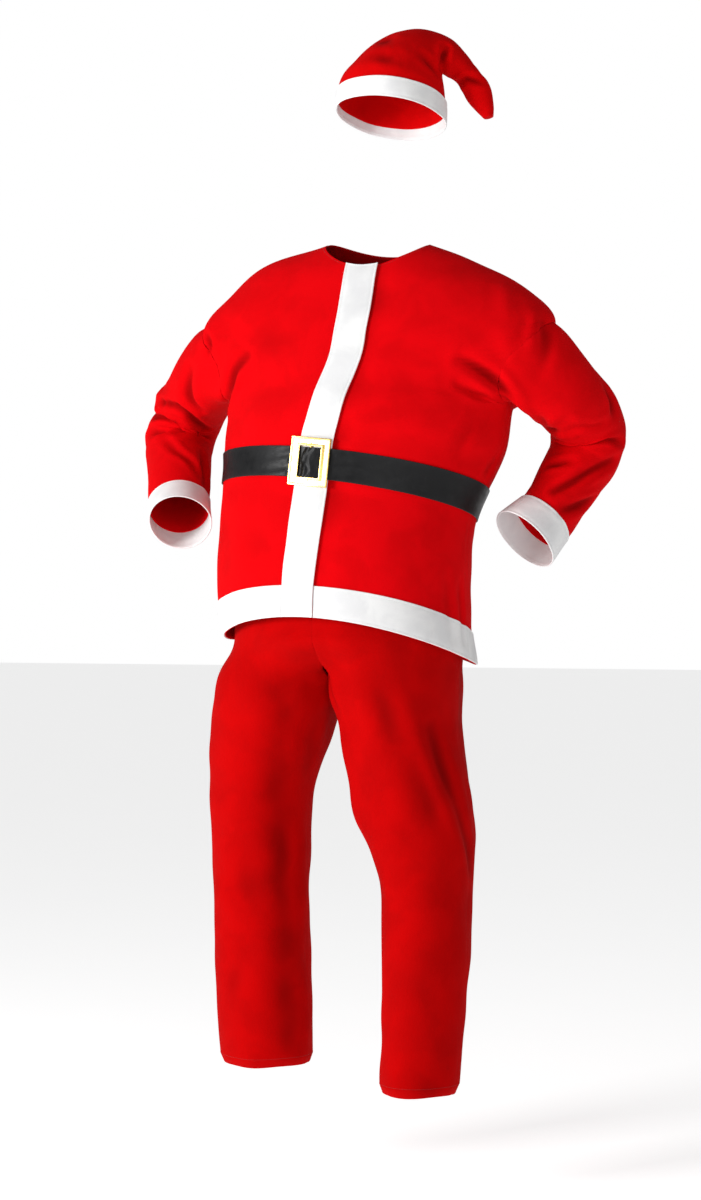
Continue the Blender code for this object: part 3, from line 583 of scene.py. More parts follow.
@dataclass
class Grid:
    """Places on a surface: rows go up and columns to the right, as seen from outside.

    Attributes:
        points: Points of the plain form, rows by columns by 3.
        normals: Its outward normals.
        lift: How far out each place lies from the plain form before its folds.
        closed: Whether the last column is the first one again.
        capped: Whether the last row is a single point.
        flat: The places on the cloth laid flat, where its folds need them.
    """

    points: Array
    normals: Array
    lift: Array | float = 0.0
    closed: bool = False
    capped: bool = False
    flat: Array | None = None

    @cached_property
    def across(self) -> Array:
        """Distance of each place along its row."""
        return distances(self.points, 1)

    @cached_property
    def up(self) -> Array:
        """Distance of each place along its column."""
        return distances(self.points, 0)

    @cached_property
    def area(self) -> float:
        """Area of the plain form, which is the cloth's flat area."""
        p = self.points
        a, b = p[1:, 1:] - p[:-1, :-1], p[1:, :-1] - p[:-1, 1:]
        return float(np.linalg.norm(np.cross(a, b), axis=-1).sum() / 2)

    @cached_property
    def cut(self) -> tuple[float, float]:
        """Width and length of the cloth's cut: its widest row and its usual column."""
        return float(self.across[:, -1].max()), float(np.median(self.up[-1]))

    @cached_property
    def index(self) -> Array:
        """The number of each place's point, where places that coincide share one."""
        rows, columns = self.points.shape[:2]
        index = np.arange(rows * columns).reshape(rows, columns)
        if self.closed:
            index[:, -1] = index[:, 0]
        if self.capped:
            index[-1] = index[-1, 0]
        return index

    def rims(self) -> list[tuple[Array, int]]:
        """The open edges' points, and which way round each edge goes."""
        rims = [(self.index[0], 1)]
        if not self.capped:
            rims.append((self.index[-1], -1))
        if not self.closed:
            rims += [(self.index[:, 0], -1), (self.index[:, -1], 1)]
        return rims


class Layer(NamedTuple):
    """A kind of cloth: the record's material slot, and where its faces lie off the plain form."""

    slot: str
    inner: float
    outer: float


RED_FELT = Layer("red_felt", -CLOTH, 0.0)
WHITE_FELT = Layer("white_felt", SEAM, SEAM + TRIM)
VINYL = Layer("black_vinyl", 0.0, STRAP)
CASING = Layer("red_felt", -2 * CLOTH - 1.5 * SEAM, -CLOTH - 1.5 * SEAM)


@dataclass
class Sheet:
    """A sheet of cloth as a closed mesh with rounded edges, its stitches and its cut.

    Attributes:
        name: The piece's name.
        node: The CAD node that it stands for.
        layer: The kind of cloth.
        grid: Where it lies.
        relief: Its folds.
        edges: How it ends.
        held: How the cloth is held. Not used.
        rests_on: What it lies on or hangs from. Not used.
        cloth: Whether it is cloth, whose cut is worked out.
        forms: The shapes of its edges.
    """

    name: str
    node: str
    layer: Layer
    grid: Grid
    relief: Relief
    edges: Edges
    held: str = "hung"
    rests_on: tuple = ()
    cloth: bool = True
    forms: dict = field(default_factory=lambda: FORMS)

    def edge_distances(self) -> list[tuple[Edge, Array, Array]]:
        """Each edge with every place's distance from it and its way along it."""
        g = self.grid
        sides = (
            (self.edges.left, g.across, g.up),
            (self.edges.right, g.across[:, -1:] - g.across, g.up),
            (self.edges.low, g.up, g.across),
            (self.edges.high, g.up[-1:] - g.up, g.across),
        )
        return [side for side in sides if side[0] is not None]

    @cached_property
    def push(self) -> Array:
        """How far the folds and edges push each place out."""
        total = self.relief.on(self.grid) + self.grid.lift
        for edge, apart, along in self.edge_distances():
            total = total + self.forms[edge].lift(apart, along)
        return total

    @cached_property
    def nearest_edge(self) -> Array:
        """Every place's distance from the nearest edge."""
        nearest = np.full(self.grid.points.shape[:2], 1.0)
        for _, apart, _ in self.edge_distances():
            nearest = np.minimum(nearest, apart)
        return nearest

    def rounding(self) -> Array:
        """How much thinner each face is near the edges, which rounds them."""
        total = np.zeros(self.grid.points.shape[:2])
        for edge, apart, _ in self.edge_distances():
            radius = self.forms[edge].rounded * (self.layer.outer - self.layer.inner)
            beyond = 1 - np.clip(apart / radius, 0, 1)
            total = np.maximum(total, radius * (1 - np.sqrt(1 - beyond**2)))
        return total

    def face(self, offset: float, rounding: Array | float = 0.0) -> Array:
        """The points of one face of the cloth."""
        return self.grid.points + self.grid.normals * (self.push + offset + rounding)[..., None]

    def mesh(self) -> Mesh:
        """Both faces of the cloth and the rims between them, with the masks that its finish reads."""
        index, thin = self.grid.index, self.rounding()
        count = index.size
        quads = np.stack((index[:-1, :-1], index[:-1, 1:], index[1:, 1:], index[1:, :-1]), -1)
        quads = quads.reshape(-1, 4)
        faces = [*quads, *(quads[:, ::-1] + count)]
        for rim, way in self.grid.rims():
            a, b = (rim[:-1], rim[1:])[::way]
            faces.extend(np.stack((b, a, a + count, b + count), -1))
        both = (self.face(self.layer.outer, -thin), self.face(self.layer.inner, thin))
        points = np.concatenate([side.reshape(-1, 3) for side in both])
        used = np.unique(np.concatenate(faces))
        renumber = np.zeros(2 * count, int)
        renumber[used] = np.arange(len(used))
        polygons = [list(dict.fromkeys(renumber[polygon].tolist())) for polygon in faces]
        mesh = bpy.data.meshes.new(self.name)
        mesh.from_pydata(points[used].tolist(), [], [p for p in polygons if len(p) > 2])
        masks = {
            "edge": np.exp(-self.nearest_edge / WEAR_REACH),
            # The fold mask is how far each place is pushed in or out; the felt's finish turns it into painted
            # shade in the folds.
            "fold": np.clip(self.push / FOLD_DEPTH, -1, 1),
        }
        for label, mask in masks.items():
            values = np.tile(mask.reshape(-1), 2)[used]
            mesh.attributes.new(label, "FLOAT", "POINT").data.foreach_set("value", values)
        return mesh

    def build(self, material: Material) -> None:
        obj = add_piece(self.mesh(), material)
        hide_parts(self.node)
        if self.cloth:
            width, length = (round(x, 4) for x in self.grid.cut)

    def line(self, side: str, apart: float) -> Placed:
        """Points on the outer face at a distance from one edge, and their normals.

        Args:
            side: One of the names in Edges.
            apart: The distance from that edge.

        Returns:
            The points and the normals along the line.
        """
        g = self.grid
        points, normals = self.face(self.layer.outer), g.normals
        distance = g.across if side in ("left", "right") else g.up
        if side in ("low", "high"):
            points, normals, distance = (np.swapaxes(x, 0, 1) for x in (points, normals, distance))
        if side in ("right", "high"):
            distance = (distance[:, -1:] - distance)[:, ::-1]
            points, normals = points[:, ::-1], normals[:, ::-1]
        k = np.clip((distance < apart).sum(axis=1) - 1, 0, distance.shape[1] - 2)
        row = np.arange(len(k))
        f = ((apart - distance[row, k]) / (distance[row, k + 1] - distance[row, k]))[:, None]
        points, normals = (x[row, k] * (1 - f) + x[row, k + 1] * f for x in (points, normals))
        return points, unit(normals)

    def stitch_lines(self, *sides: str) -> list[Placed]:
        """The lines of stitches along these edges."""
        return [self.line(side, self.forms[getattr(self.edges, side)].stitch) for side in sides]


def add_piece(mesh: Mesh, material: Material) -> Object:
    """Adds a smooth piece of the suit to the scene.

    Args:
        mesh: Its mesh, whose name it takes.
        material: Its material.

    Returns:
        The piece.
    """
    mesh.shade_smooth()
    mesh.materials.append(material)
    obj = bpy.data.objects.new(mesh.name, mesh)
    bpy.context.scene.collection.objects.link(obj)
    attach(obj, BODY)
    return obj


@dataclass(frozen=True)
class Stitching:
    """Rows of lockstitch.

    Attributes:
        pitch: Distance from one stitch to the next.
        length: Length of a stitch.
        radius: Radius of the thread.
        sides: Sides round the thread.
        stations: Each ring of a stitch: its place along, its width and its rise.
    """

    pitch: float = 0.0042
    length: float = 0.0034
    radius: float = 0.00032
    sides: int = 6
    stations: tuple = (
        (-0.5, 0.15, -0.9), (-0.3, 0.85, 0.05), (0.0, 1.0, 0.35), (0.3, 0.85, 0.05), (0.5, 0.15, -0.9)
    )

    def stitch(self) -> tuple[Array, list[tuple[int, ...]]]:
        """The points and faces of one stitch, along x with z out of the cloth."""
        n = self.sides
        turns = np.arange(n) * 2 * math.pi / n
        shape = np.array([
            (along * self.length, wide * self.radius * math.cos(t), self.radius * (rise + wide * math.sin(t)))
            for along, wide, rise in self.stations for t in turns
        ])
        quads = [
            (k * n + j, (k + 1) * n + j, (k + 1) * n + (j + 1) % n, k * n + (j + 1) % n)
            for k in range(len(self.stations) - 1) for j in range(n)
        ]
        last = len(shape) - 1
        return shape, [*quads, tuple(range(n)), tuple(range(last, last - n, -1))]

    def build(self, name: str, lines: Sequence[Placed], slot: str, thread: Material) -> None:
        """Makes one piece of stitches along lines on the cloth.

        Args:
            name: The name of the cloth that is sewn.
            lines: Points and normals of each line.
            slot: The record's material slot. Not used.
            thread: The thread's material.
        """
        shape, shape_faces = self.stitch()
        points, faces = [], []
        for line, normals in lines:
            at = distances(line)
            for middle in np.arange(0.6 * self.pitch, at[-1] - 0.4 * self.pitch, self.pitch):
                a, b, normal = (
                    np.array([np.interp(middle + d, at, source[:, axis]) for axis in range(3)])
                    for d, source in ((-self.pitch / 2, line), (self.pitch / 2, line), (0.0, normals))
                )
                along = unit(b - a)
                out = unit(normal - along * float(normal @ along))
                start = len(points) * len(shape)
                points.append((a + b) / 2 + shape @ np.stack((along, np.cross(out, along), out)))
                faces.extend(tuple(i + start for i in f) for f in shape_faces)
        mesh = bpy.data.meshes.new(f"{name}_stitches")
        mesh.from_pydata(np.concatenate(points).tolist(), [], faces)
        add_piece(mesh, thread)
        LOG.info("%s: %d stitches", mesh.name, len(points))


STITCHES = Stitching()

# ---- materials


class Nodes:
    """Adds and links shader nodes in one tree."""

    def __init__(self, tree: NodeTree) -> None:
        """Keeps the tree."""
        self.tree = tree

    def feed(self, node: Node, inputs: dict[str, object]) -> None:
        """Gives a node's inputs a value each, or a link from a socket.

        Args:
            node: The node.
            inputs: Values and sockets by the input's name, or by i and its number.
        """
        for key, value in inputs.items():
            numbered = key[0] == "i" and key[1:].isdigit()
            socket = node.inputs[int(key[1:]) if numbered else key.replace("_", " ")]
            if isinstance(value, NodeSocket):
                self.tree.links.new(value, socket)
            else:
                socket.default_value = value

    def add(self, kind: str, props: dict | None = None, **inputs: object) -> Node:
        """A new node.

        Args:
            kind: The node's type, without its ShaderNode prefix.
            props: Settings of the node.
            **inputs: Inputs by name, with _ for a space: a value, or a socket to link from.

        Returns:
            The node.
        """
        node = self.tree.nodes.new(f"ShaderNode{kind}")
        for key, value in (props or {}).items():
            setattr(node, key, value)
        self.feed(node, inputs)
        return node

    def group(self, tree: NodeTree, **inputs: object) -> Node:
        """A shader group with its own values."""
        return self.add("Group", {"node_tree": tree}, **inputs)

    def math(self, how: str, a: object, b: object = 0.0) -> NodeSocket:
        """The result of a Math node."""
        return self.add("Math", {"operation": how}, i0=a, i1=b).outputs[0]

    def mix(self, factor: object, a: object, b: object) -> NodeSocket:
        """The colour that a Mix node gives."""
        return self.add("Mix", {"data_type": "RGBA"}, i0=factor, i6=a, i7=b).outputs[2]

    def noise(
        self, where: object, scale: float, detail: float = 3.0, rough: float = 0.55, twist: float = 0.0
    ) -> NodeSocket:
        """The value of a Noise Texture."""
        inputs = dict(Vector=where, Scale=scale, Detail=detail, Roughness=rough, Distortion=twist)
        return self.add("TexNoise", None, **inputs).outputs[0]

    def cells(self, where: object, scale: float) -> NodeSocket:
        """The distance from the borders of a Voronoi Texture's cells."""
        node = self.add("TexVoronoi", {"feature": "DISTANCE_TO_EDGE"}, Vector=where, Scale=scale)
        return node.outputs["Distance"]

    def ramp(
        self, value: object, low: float, high: float, start: object = 0.0, end: object = 1.0
    ) -> NodeSocket:
        """The value moved smoothly from low..high to start..end, and kept there."""
        limits = dict(From_Min=low, From_Max=high, To_Min=start, To_Max=end)
        return self.add("MapRange", {"interpolation_type": "SMOOTHSTEP"}, Value=value, **limits).outputs[0]

    def bump(self, height: object, distance: float, strength: float, **over: object) -> NodeSocket:
        """The normal of a Bump node; over is the normal that it changes."""
        node = self.add("Bump", None, Strength=strength, Distance=distance, Height=height, **over)
        return node.outputs["Normal"]

    def mask(self, name: str) -> NodeSocket:
        """A mask that the piece's mesh holds."""
        return self.add("Attribute", {"attribute_name": name}).outputs["Fac"]

    def place(self) -> NodeSocket:
        """The place on the suit."""
        return self.add("TexCoord").outputs["Object"]


def colour(rgb: Sequence[float]) -> tuple[float, float, float, float]:
    """The colour with its alpha."""
    return (*rgb, 1.0)


class Socket(Enum):
    """What a group's socket carries."""

    VALUE = "NodeSocketFloat"
    COLOUR = "NodeSocketColor"
    NORMAL = "NodeSocketVector"


def shader_group(
    name: str, inputs: dict[str, Socket], outputs: dict[str, Socket]
) -> tuple[Nodes, Mapping[str, NodeSocket], Node]:
    """A new shader node group.

    Args:
        name: The group's name.
        inputs: Each input's name and what it carries.
        outputs: Each output's name and what it carries.

    Returns:
        Its nodes, the inputs that it is given, and the node that takes its outputs.
    """
    tree = bpy.data.node_groups.new(name, "ShaderNodeTree")
    for way, sockets in (("INPUT", inputs), ("OUTPUT", outputs)):
        for label, kind in sockets.items():
            tree.interface.new_socket(name=label, in_out=way, socket_type=kind.value)
    given = tree.nodes.new("NodeGroupInput").outputs
    return Nodes(tree), given, tree.nodes.new("NodeGroupOutput")


@cache
def edge_wear() -> NodeTree:
    """The shared wear of edges: between Least and Most of the Edge mask, as the Pattern says."""
    names = ("Edge", "Pattern", "Least", "Most")
    n, given, out = shader_group("edge_wear", dict.fromkeys(names, Socket.VALUE), {"Wear": Socket.VALUE})
    share = n.ramp(given["Pattern"], 0.42, 0.6, given["Least"], given["Most"])
    n.feed(out, {"Wear": n.math("MULTIPLY", given["Edge"], share)})
    return n.tree


@cache
def felt_surface(
    fibre_scale: float = 1500.0, clump_scale: float = 340.0, patch_scale: float = 16.0, nap: float = 0.00045
) -> NodeTree:
    """The shared look of pressed felt: matted fibres, clumps, soft patches and painted shade in its folds.

    Args:
        fibre_scale: Scale of the matted fibres, per metre.
        clump_scale: Scale of the clumps of fibre.
        patch_scale: Scale of the soft patches.
        nap: Height of the nap.

    Returns:
        The node group, which puts out the felt's colour with painted shade in its folds, its roughness,
        clumps and normal.
    """
    inputs = dict.fromkeys(("Base", "Deep", "Pale", "Shade"), Socket.COLOUR)
    inputs |= dict.fromkeys(("Mottle", "Fold", "Roughness"), Socket.VALUE)
    outputs = dict(Color=Socket.COLOUR, Roughness=Socket.VALUE, Clump=Socket.VALUE, Normal=Socket.NORMAL)
    n, given, out = shader_group("felt_surface", inputs, outputs)
    where = n.place()
    fibre = n.noise(where, fibre_scale, 4.0, 0.65, 0.8)
    clump = n.noise(where, clump_scale, 4.0, 0.6, 1.6)
    patch = n.noise(where, patch_scale, 3.0, 0.55, 0.4)
    web = n.ramp(n.cells(where, clump_scale * 2.2), 0.0, 0.12, 1.0, 0.0)
    height = n.math("ADD", n.math("MULTIPLY", fibre, 0.45), n.math("MULTIPLY", clump, 0.75))
    height = n.math("ADD", height, n.math("MULTIPLY", web, 0.10))
    patches = n.math("MULTIPLY", n.ramp(patch, 0.36, 0.64), given["Mottle"])
    specks, lint = n.ramp(fibre, 0.30, 0.52, 0.34, 0.0), n.ramp(clump, 0.60, 0.74, 0.0, 0.42)
    # Painted shade: at the bottom of folds the colour goes towards the Shade colour, darkest where the cloth
    # is pushed in furthest.
    painted_fold_shade = n.ramp(given["Fold"], -0.9, 0.0, 0.80, 0.0)
    tone = given["Base"]
    for share, name in ((patches, "Deep"), (specks, "Deep"), (lint, "Pale"), (painted_fold_shade, "Shade")):
        tone = n.mix(share, tone, given[name])
    rough = n.math("ADD", n.ramp(clump, 0.3, 0.7, -0.07, 0.06), given["Roughness"])
    n.feed(out, dict(Color=tone, Roughness=rough, Clump=clump, Normal=n.bump(height, nap, 0.75)))
    return n.tree


@dataclass(frozen=True)
class Finish:
    """A procedural material.

    Attributes:
        name: The material's name.
        base: Its colour.
    """

    name: str
    base: tuple

    def inputs(self, n: Nodes) -> dict[str, object]:
        """The shader's inputs by name: numbers, and sockets of the nodes that it adds."""
        raise NotImplementedError

    def make(self) -> Material:
        """The material."""
        material = bpy.data.materials.new(self.name)
        material.use_nodes = True
        n = Nodes(material.node_tree)
        n.feed(material.node_tree.nodes["Principled BSDF"], self.inputs(n))
        return material


@dataclass(frozen=True)
class FeltFinish(Finish):
    """Coloured felt.

    Attributes:
        deep: Its colour between the fibres and in patches.
        pale: Its colour on lifted fibres and worn edges.
        shade: Painted shade at the bottom of folds, where the cloth is pushed in.
        mottle: How strongly its patches vary.
        sheen: How much its nap lights up at a glance.
        sheen_tint: The colour of that.
        roughness: Its usual roughness.
    """

    deep: tuple
    pale: tuple
    shade: tuple
    mottle: float = 0.30
    sheen: float = 0.02
    sheen_tint: tuple = (1.0, 0.05, 0.04)
    roughness: float = 0.92

    def inputs(self, n: Nodes) -> dict[str, object]:
        """The felt's inputs, from the shared felt and edge groups."""
        edge, fold = n.mask("edge"), n.mask("fold")
        tones = dict(Base=self.base, Deep=self.deep, Pale=self.pale, Shade=self.shade)
        tones = {key: colour(rgb) for key, rgb in tones.items()}
        felt = n.group(felt_surface(), Fold=fold, Mottle=self.mottle, Roughness=self.roughness, **tones)
        wear = n.group(edge_wear(), Edge=edge, Pattern=felt.outputs["Clump"], Least=0.10, Most=0.45)
        return {
            "Base Color": n.mix(wear.outputs["Wear"], felt.outputs["Color"], colour(self.pale)),
            "Roughness": felt.outputs["Roughness"],
            "Normal": felt.outputs["Normal"],
            "Specular IOR Level": 0.04,
            "Sheen Weight": self.sheen,
            "Sheen Roughness": 0.45,
            "Sheen Tint": colour(self.sheen_tint),
        }


@dataclass(frozen=True)
class VinylFinish(Finish):
    """Satin black vinyl with a pressed grain and fine creases.

    Attributes:
        scuff: Its colour where it is rubbed.
        grain: Scale of the grain, per metre.
        roughness: Its usual roughness.
    """

    name: str = "belt_vinyl"
    base: tuple = (0.004, 0.004, 0.0045)
    scuff: tuple = (0.018, 0.018, 0.019)
    grain: float = 620.0
    roughness: float = 0.40

    def inputs(self, n: Nodes) -> dict[str, object]:
        """The vinyl's inputs."""
        where = n.place()
        pebble = n.ramp(n.cells(where, self.grain), 0.0, 0.22)
        soft, broad = n.noise(where, 70.0), n.noise(where, 14.0, 2.0)
        rub = n.ramp(n.noise(where, 45.0, 4.0, 0.6, 0.6), 0.52, 0.78, 0.0, 0.35)
        wear = n.group(edge_wear(), Edge=n.mask("edge"), Pattern=soft, Least=0.45, Most=0.45)
        worn = n.math("MAXIMUM", rub, wear.outputs["Wear"])
        rough = n.ramp(soft, 0.3, 0.7, self.roughness - 0.08, self.roughness + 0.1)
        height = n.math("ADD", soft, n.math("MULTIPLY", broad, 1.5))
        return {
            "Base Color": n.mix(worn, colour(self.base), colour(self.scuff)),
            "Roughness": n.math("ADD", rough, n.math("MULTIPLY", rub, 0.2)),
            "Normal": n.bump(height, 0.0009, 0.5, Normal=n.bump(pebble, 0.00012, 0.35)),
            "Specular IOR Level": 0.17,
            "Coat Weight": 0.04,
            "Coat Roughness": 0.3,
        }


@dataclass(frozen=True)
class MetalFinish(Finish):
    """Pale gilt plating with fine brushing and small knocks.

    Attributes:
        tarnish: Its colour in patches.
        metallic: How metallic it is.
        roughness: Its usual roughness.
        brushing: How fine its brushing is along each axis.
    """

    tarnish: tuple
    metallic: float
    roughness: float
    brushing: tuple = (60.0, 60.0, 2400.0)

    def inputs(self, n: Nodes) -> dict[str, object]:
        """The metal's inputs."""
        where = n.place()
        drawn = n.add("VectorMath", {"operation": "MULTIPLY"}, i0=where, i1=self.brushing).outputs[0]
        brush, spots = n.noise(drawn, 1.0), n.noise(where, 240.0, 4.0, 0.6)
        rough = n.ramp(brush, 0.3, 0.7, self.roughness - 0.06, self.roughness + 0.08)
        height = n.math("ADD", n.math("MULTIPLY", brush, 0.5), spots)
        patches = n.ramp(spots, 0.5, 0.72, 0.0, 0.6)
        return {
            "Base Color": n.mix(patches, colour(self.base), colour(self.tarnish)),
            "Roughness": n.math("ADD", rough, n.ramp(spots, 0.5, 0.8, 0.0, 0.12)),
            "Normal": n.bump(height, 0.0002, 0.22),
            "Metallic": self.metallic,
        }


@dataclass(frozen=True)
class ThreadFinish(Finish):
    """Twisted sewing thread.

    Attributes:
        shade: Painted shade between its plies.
        twist: Scale of its plies.
    """

    shade: tuple
    twist: float = 700.0

    def inputs(self, n: Nodes) -> dict[str, object]:
        """The thread's inputs."""
        bands = {"wave_type": "BANDS", "bands_direction": "DIAGONAL"}
        ply = n.add("TexWave", bands, Vector=n.place(), Scale=self.twist, Distortion=1.5).outputs["Fac"]
        return {
            # Painted shade between the plies.
            "Base Color": n.mix(n.ramp(ply, 0.2, 0.6, 0.7, 0.0), colour(self.base), colour(self.shade)),
            "Normal": n.bump(ply, 0.0001, 0.4),
            "Roughness": 0.7,
            "Sheen Weight": 0.1,
        }


@dataclass(frozen=True)
class FloorFinish(Finish):
    """A pale painted floor.

    Attributes:
        light: Its colour in lighter patches.
        glow: How much it shines by itself.
    """

    name: str = "pale_floor"
    base: tuple = (0.84, 0.84, 0.84)
    light: tuple = (0.87, 0.87, 0.87)
    glow: float = 0.58

    def inputs(self, n: Nodes) -> dict[str, object]:
        """The floor's inputs."""
        patches = n.noise(n.place(), 3.0, 4.0)
        return {
            "Base Color": n.mix(patches, colour(self.base), colour(self.light)),
            "Roughness": 0.7,
            "Specular IOR Level": 0.1,
            "Emission Color": (1, 1, 1, 1),
            "Emission Strength": self.glow,
        }


class Finishes:
    """Every material of the suit."""

    def __init__(self) -> None:
        """Makes the materials."""
        # Each felt's colours: base, deep, pale, and its painted shade at the bottom of folds.
        felts = (
            FeltFinish(
                "jacket_felt", (0.66, 0.0004, 0.0026), (0.42, 0.0002, 0.0010), (0.72, 0.002, 0.005),
                (0.19, 0.0001, 0.0004),
            ),
            # The trouser felt is darker than the jacket felt: partly its own tone, partly painted shade for
            # the dimmer light on the legs.
            FeltFinish(
                "trouser_felt", (0.465, 0.0002, 0.0005), (0.29, 0.0001, 0.0003), (0.52, 0.0015, 0.002),
                (0.15, 0.0001, 0.0002),
            ),
            FeltFinish(
                "hat_felt", (0.60, 0.0003, 0.0010), (0.35, 0.0001, 0.0005), (0.62, 0.002, 0.003),
                (0.15, 0.0001, 0.0003),
            ),
            FeltFinish(
                "trim_felt", (0.79, 0.79, 0.785), (0.64, 0.64, 0.65), (0.87, 0.87, 0.865),
                (0.50, 0.50, 0.51), mottle=0.65, sheen=0.10, sheen_tint=(1.0, 1.0, 1.0),
            ),
        )
        self.jacket, self.trousers, self.hat, self.white = (felt.make() for felt in felts)
        self.vinyl = VinylFinish().make()
        self.face = MetalFinish("buckle_face", (0.97, 0.94, 0.84), (0.88, 0.80, 0.60), 0.60, 0.40).make()
        self.rim = MetalFinish("buckle_rim", (0.90, 0.62, 0.20), (0.62, 0.40, 0.12), 1.0, 0.26).make()
        # The red thread is darker than the red felt: partly its own colour, partly painted shade that keeps
        # the stitch lines from looking pale.
        self.red_thread = ThreadFinish("red_thread", (0.30, 0.001, 0.002), (0.12, 0.0005, 0.001)).make()
        self.white_thread = ThreadFinish("white_thread", (0.80, 0.79, 0.77), (0.45, 0.44, 0.43)).make()


def sew_trim(
    name: str, node: str, grid: Grid, relief: Relief, edges: Edges, under: str, finishes: Finishes
) -> None:
    """Makes a white trim on top of a panel, sewn along its two long edges.

    Args:
        name: The trim's name.
        node: The CAD node that it stands for.
        grid: Where the panel's cloth lies under it.
        relief: The folds of the panel.
        edges: How it ends.
        under: The panel.
        finishes: The suit's materials.
    """
    trim = Sheet(name, node, WHITE_FELT, grid, relief, edges, rests_on=(under,))
    trim.build(finishes.white)
    wide = trim.grid.cut[0] > trim.grid.cut[1]
    lines = trim.stitch_lines(*(("low", "high") if wide else ("left", "right")))
    STITCHES.build(name, lines, WHITE_FELT.slot, finishes.white_thread)


# ---- the jacket's form

ARMHOLE_MIDDLE, ARMHOLE_HALF = (SHOULDER + ARMPIT) / 2, (SHOULDER - ARMPIT) / 2
ARMHOLE_STEPS = 22  # rows of the jacket from armpit to shoulder
EDGE_NUDGE = 0.01  # step in radians that finds the way along an armhole


def band_angle(level: Array) -> Array:
    """The angle of the front band's middle."""
    return rows_at(BAND, np.clip(level, HEM, NECK)).angle


def turn_of(metres: Array | float, level: Array) -> Array:
    """The angle in degrees that this many metres take across the front."""
    return np.degrees(metres / rows_at(JACKET, level).half_width)


def armhole_turn(level: Array) -> Array:
    """How far, in degrees, an armhole's edge is from the side seam at each level."""
    inside = np.clip(1 - ((level - ARMHOLE_MIDDLE) / ARMHOLE_HALF) ** 2, 0, None)
    return ARMHOLE_HALF_ANGLE * np.sqrt(inside)


def armhole_level(turn: Array) -> Array:
    """The level on an armhole's edge, for a turn of 0 at the armpit and pi at the shoulder."""
    return ARMHOLE_MIDDLE - ARMHOLE_HALF * np.cos(turn)


def armhole_spot(side: Array | int, turn: Array) -> tuple[Array, Array]:
    """The angle and level of places on an armhole's edge."""
    return side * (90 - ARMHOLE_HALF_ANGLE * np.sin(turn)), armhole_level(turn)


def plain_armhole(side: Array | int, turn: Array) -> Placed:
    """Places on an armhole's edge before the cloth is eased, and their outward normals."""
    angle, level = armhole_spot(side, turn)
    point = partial(body_points, JACKET)
    return point(angle, level), normals_of(point, angle, level)


def armhole_way(place: PointAt, side: Array | int, turn: Array) -> Array:
    """The way along an armhole's edge, whose places this function gives."""
    return unit(place(side, turn + EDGE_NUDGE)[0] - place(side, turn - EDGE_NUDGE)[0])


def armhole_ease(side: Array, turn: Array) -> Array:
    """How far the cloth at an armhole's edge is drawn out of the hollow between body and sleeve."""
    side, turn = matched(side, turn)
    normal = plain_armhole(side, turn)[1]
    edge = armhole_way(plain_armhole, side, turn)
    away = -unit(np.cross(edge, normal)) * side[..., None]
    right, left = (
        unit(np.subtract(ARMS[name].corners[1], ARMS[name].corners[0])) for name in ("right", "left")
    )
    leave = normal + CAP_LEAN * np.where(side[..., None] > 0, left, right)
    leave = unit(leave - edge * (leave * edge).sum(axis=-1, keepdims=True))
    up = np.degrees(np.arccos(np.cos(turn)))
    strength = EASE_LEAST + (1 - EASE_LEAST) * ease(up, *EASE_RISE) * (1 - ease(up, *EASE_FALL))
    return (away + leave) * EASE_REACH / 4 * strength[..., None]


def ease_share(distance: Array) -> Array:
    """The share of an armhole's ease that is left at distances from its edge."""
    return np.clip(1 - np.maximum(distance, -0.3 * ARMHOLE_RADIUS) / EASE_REACH, 0, None) ** 2


def jacket_points(angle: Array, level: Array) -> Array:
    """Points on the jacket, whose cloth is eased beside its armholes."""
    angle, level = matched(angle, level)
    points = body_points(JACKET, angle, level)
    side = np.where(np.sin(np.radians(angle)) > 0, 1.0, -1.0)
    wrapped = np.where((angle > 180) & (side < 0), angle - 360, angle)
    aside = (90 - side * wrapped) / ARMHOLE_HALF_ANGLE
    below = (ARMHOLE_MIDDLE - level) / ARMHOLE_HALF
    share = ease_share((np.hypot(aside, below) - 1) * ARMHOLE_RADIUS)
    return points + armhole_ease(side, np.arctan2(aside, below)) * share[..., None]


def jacket_at(angle: Array, level: Array) -> Placed:
    """Points on the jacket's outer face, and its outward normals."""
    angle, level = matched(angle, level)
    near = np.clip(level, HEM + NUDGE, NECK - NUDGE)
    return jacket_points(angle, level), normals_of(jacket_points, angle, near, 0.5)


def jacket_levels() -> Array:
    """The levels of the jacket's rows, close together at its edges and round the armholes."""
    low = HEM + (ARMPIT - HEM) * spaced(ARMPIT - HEM, Edge.CUT, None)
    hole = armhole_level(np.linspace(0, math.pi, ARMHOLE_STEPS + 1))
    high = SHOULDER + (NECK - SHOULDER) * spaced(NECK - SHOULDER, None, Edge.CUT, step=0.0034)
    return np.concatenate((low[:-1], hole, high[1:]))


def body_angle(points: Array, row: Section) -> Array:
    """The angle in radians of each point round the body's middle at a row."""
    ahead = row.centre_y - points[..., 1]
    return np.arctan2((points[..., 0] - row.centre_x) / row.half_width, ahead / row.front)


def belt_place(points: Array) -> tuple[Array, Array]:
    """How far above the belt's middle each point is, and its angle round the body in radians."""
    angle = body_angle(points, BELT_ROW)
    return points[..., 2] - body_points(JACKET, np.degrees(angle), BELT)[..., 2], angle


def beside_belt(points: Array) -> Array:
    """0 under the belt and 1 away from it."""
    height, _ = belt_place(points)
    return ease(np.abs(height), BELT_WIDTH / 2 + 0.002, BELT_WIDTH / 2 + 0.024)


def belt_gathers(points: Array) -> Array:
    """Small pleats where the belt draws the cloth in."""
    height, angle = belt_place(points)
    fade = np.exp(-np.clip(np.abs(height) - BELT_WIDTH / 2, 0, None) / 0.022)
    above = (height > 0) * 1.0
    pleat = np.sin(angle * 17 + 2.1 * np.sin(angle * 3 + above)) + 0.6 * np.sin(angle * 29 + 1.7 + above)
    return 0.0011 * fade * pleat * (0.45 + 0.55 * ease(np.abs(angle), 0.5, 1.3))


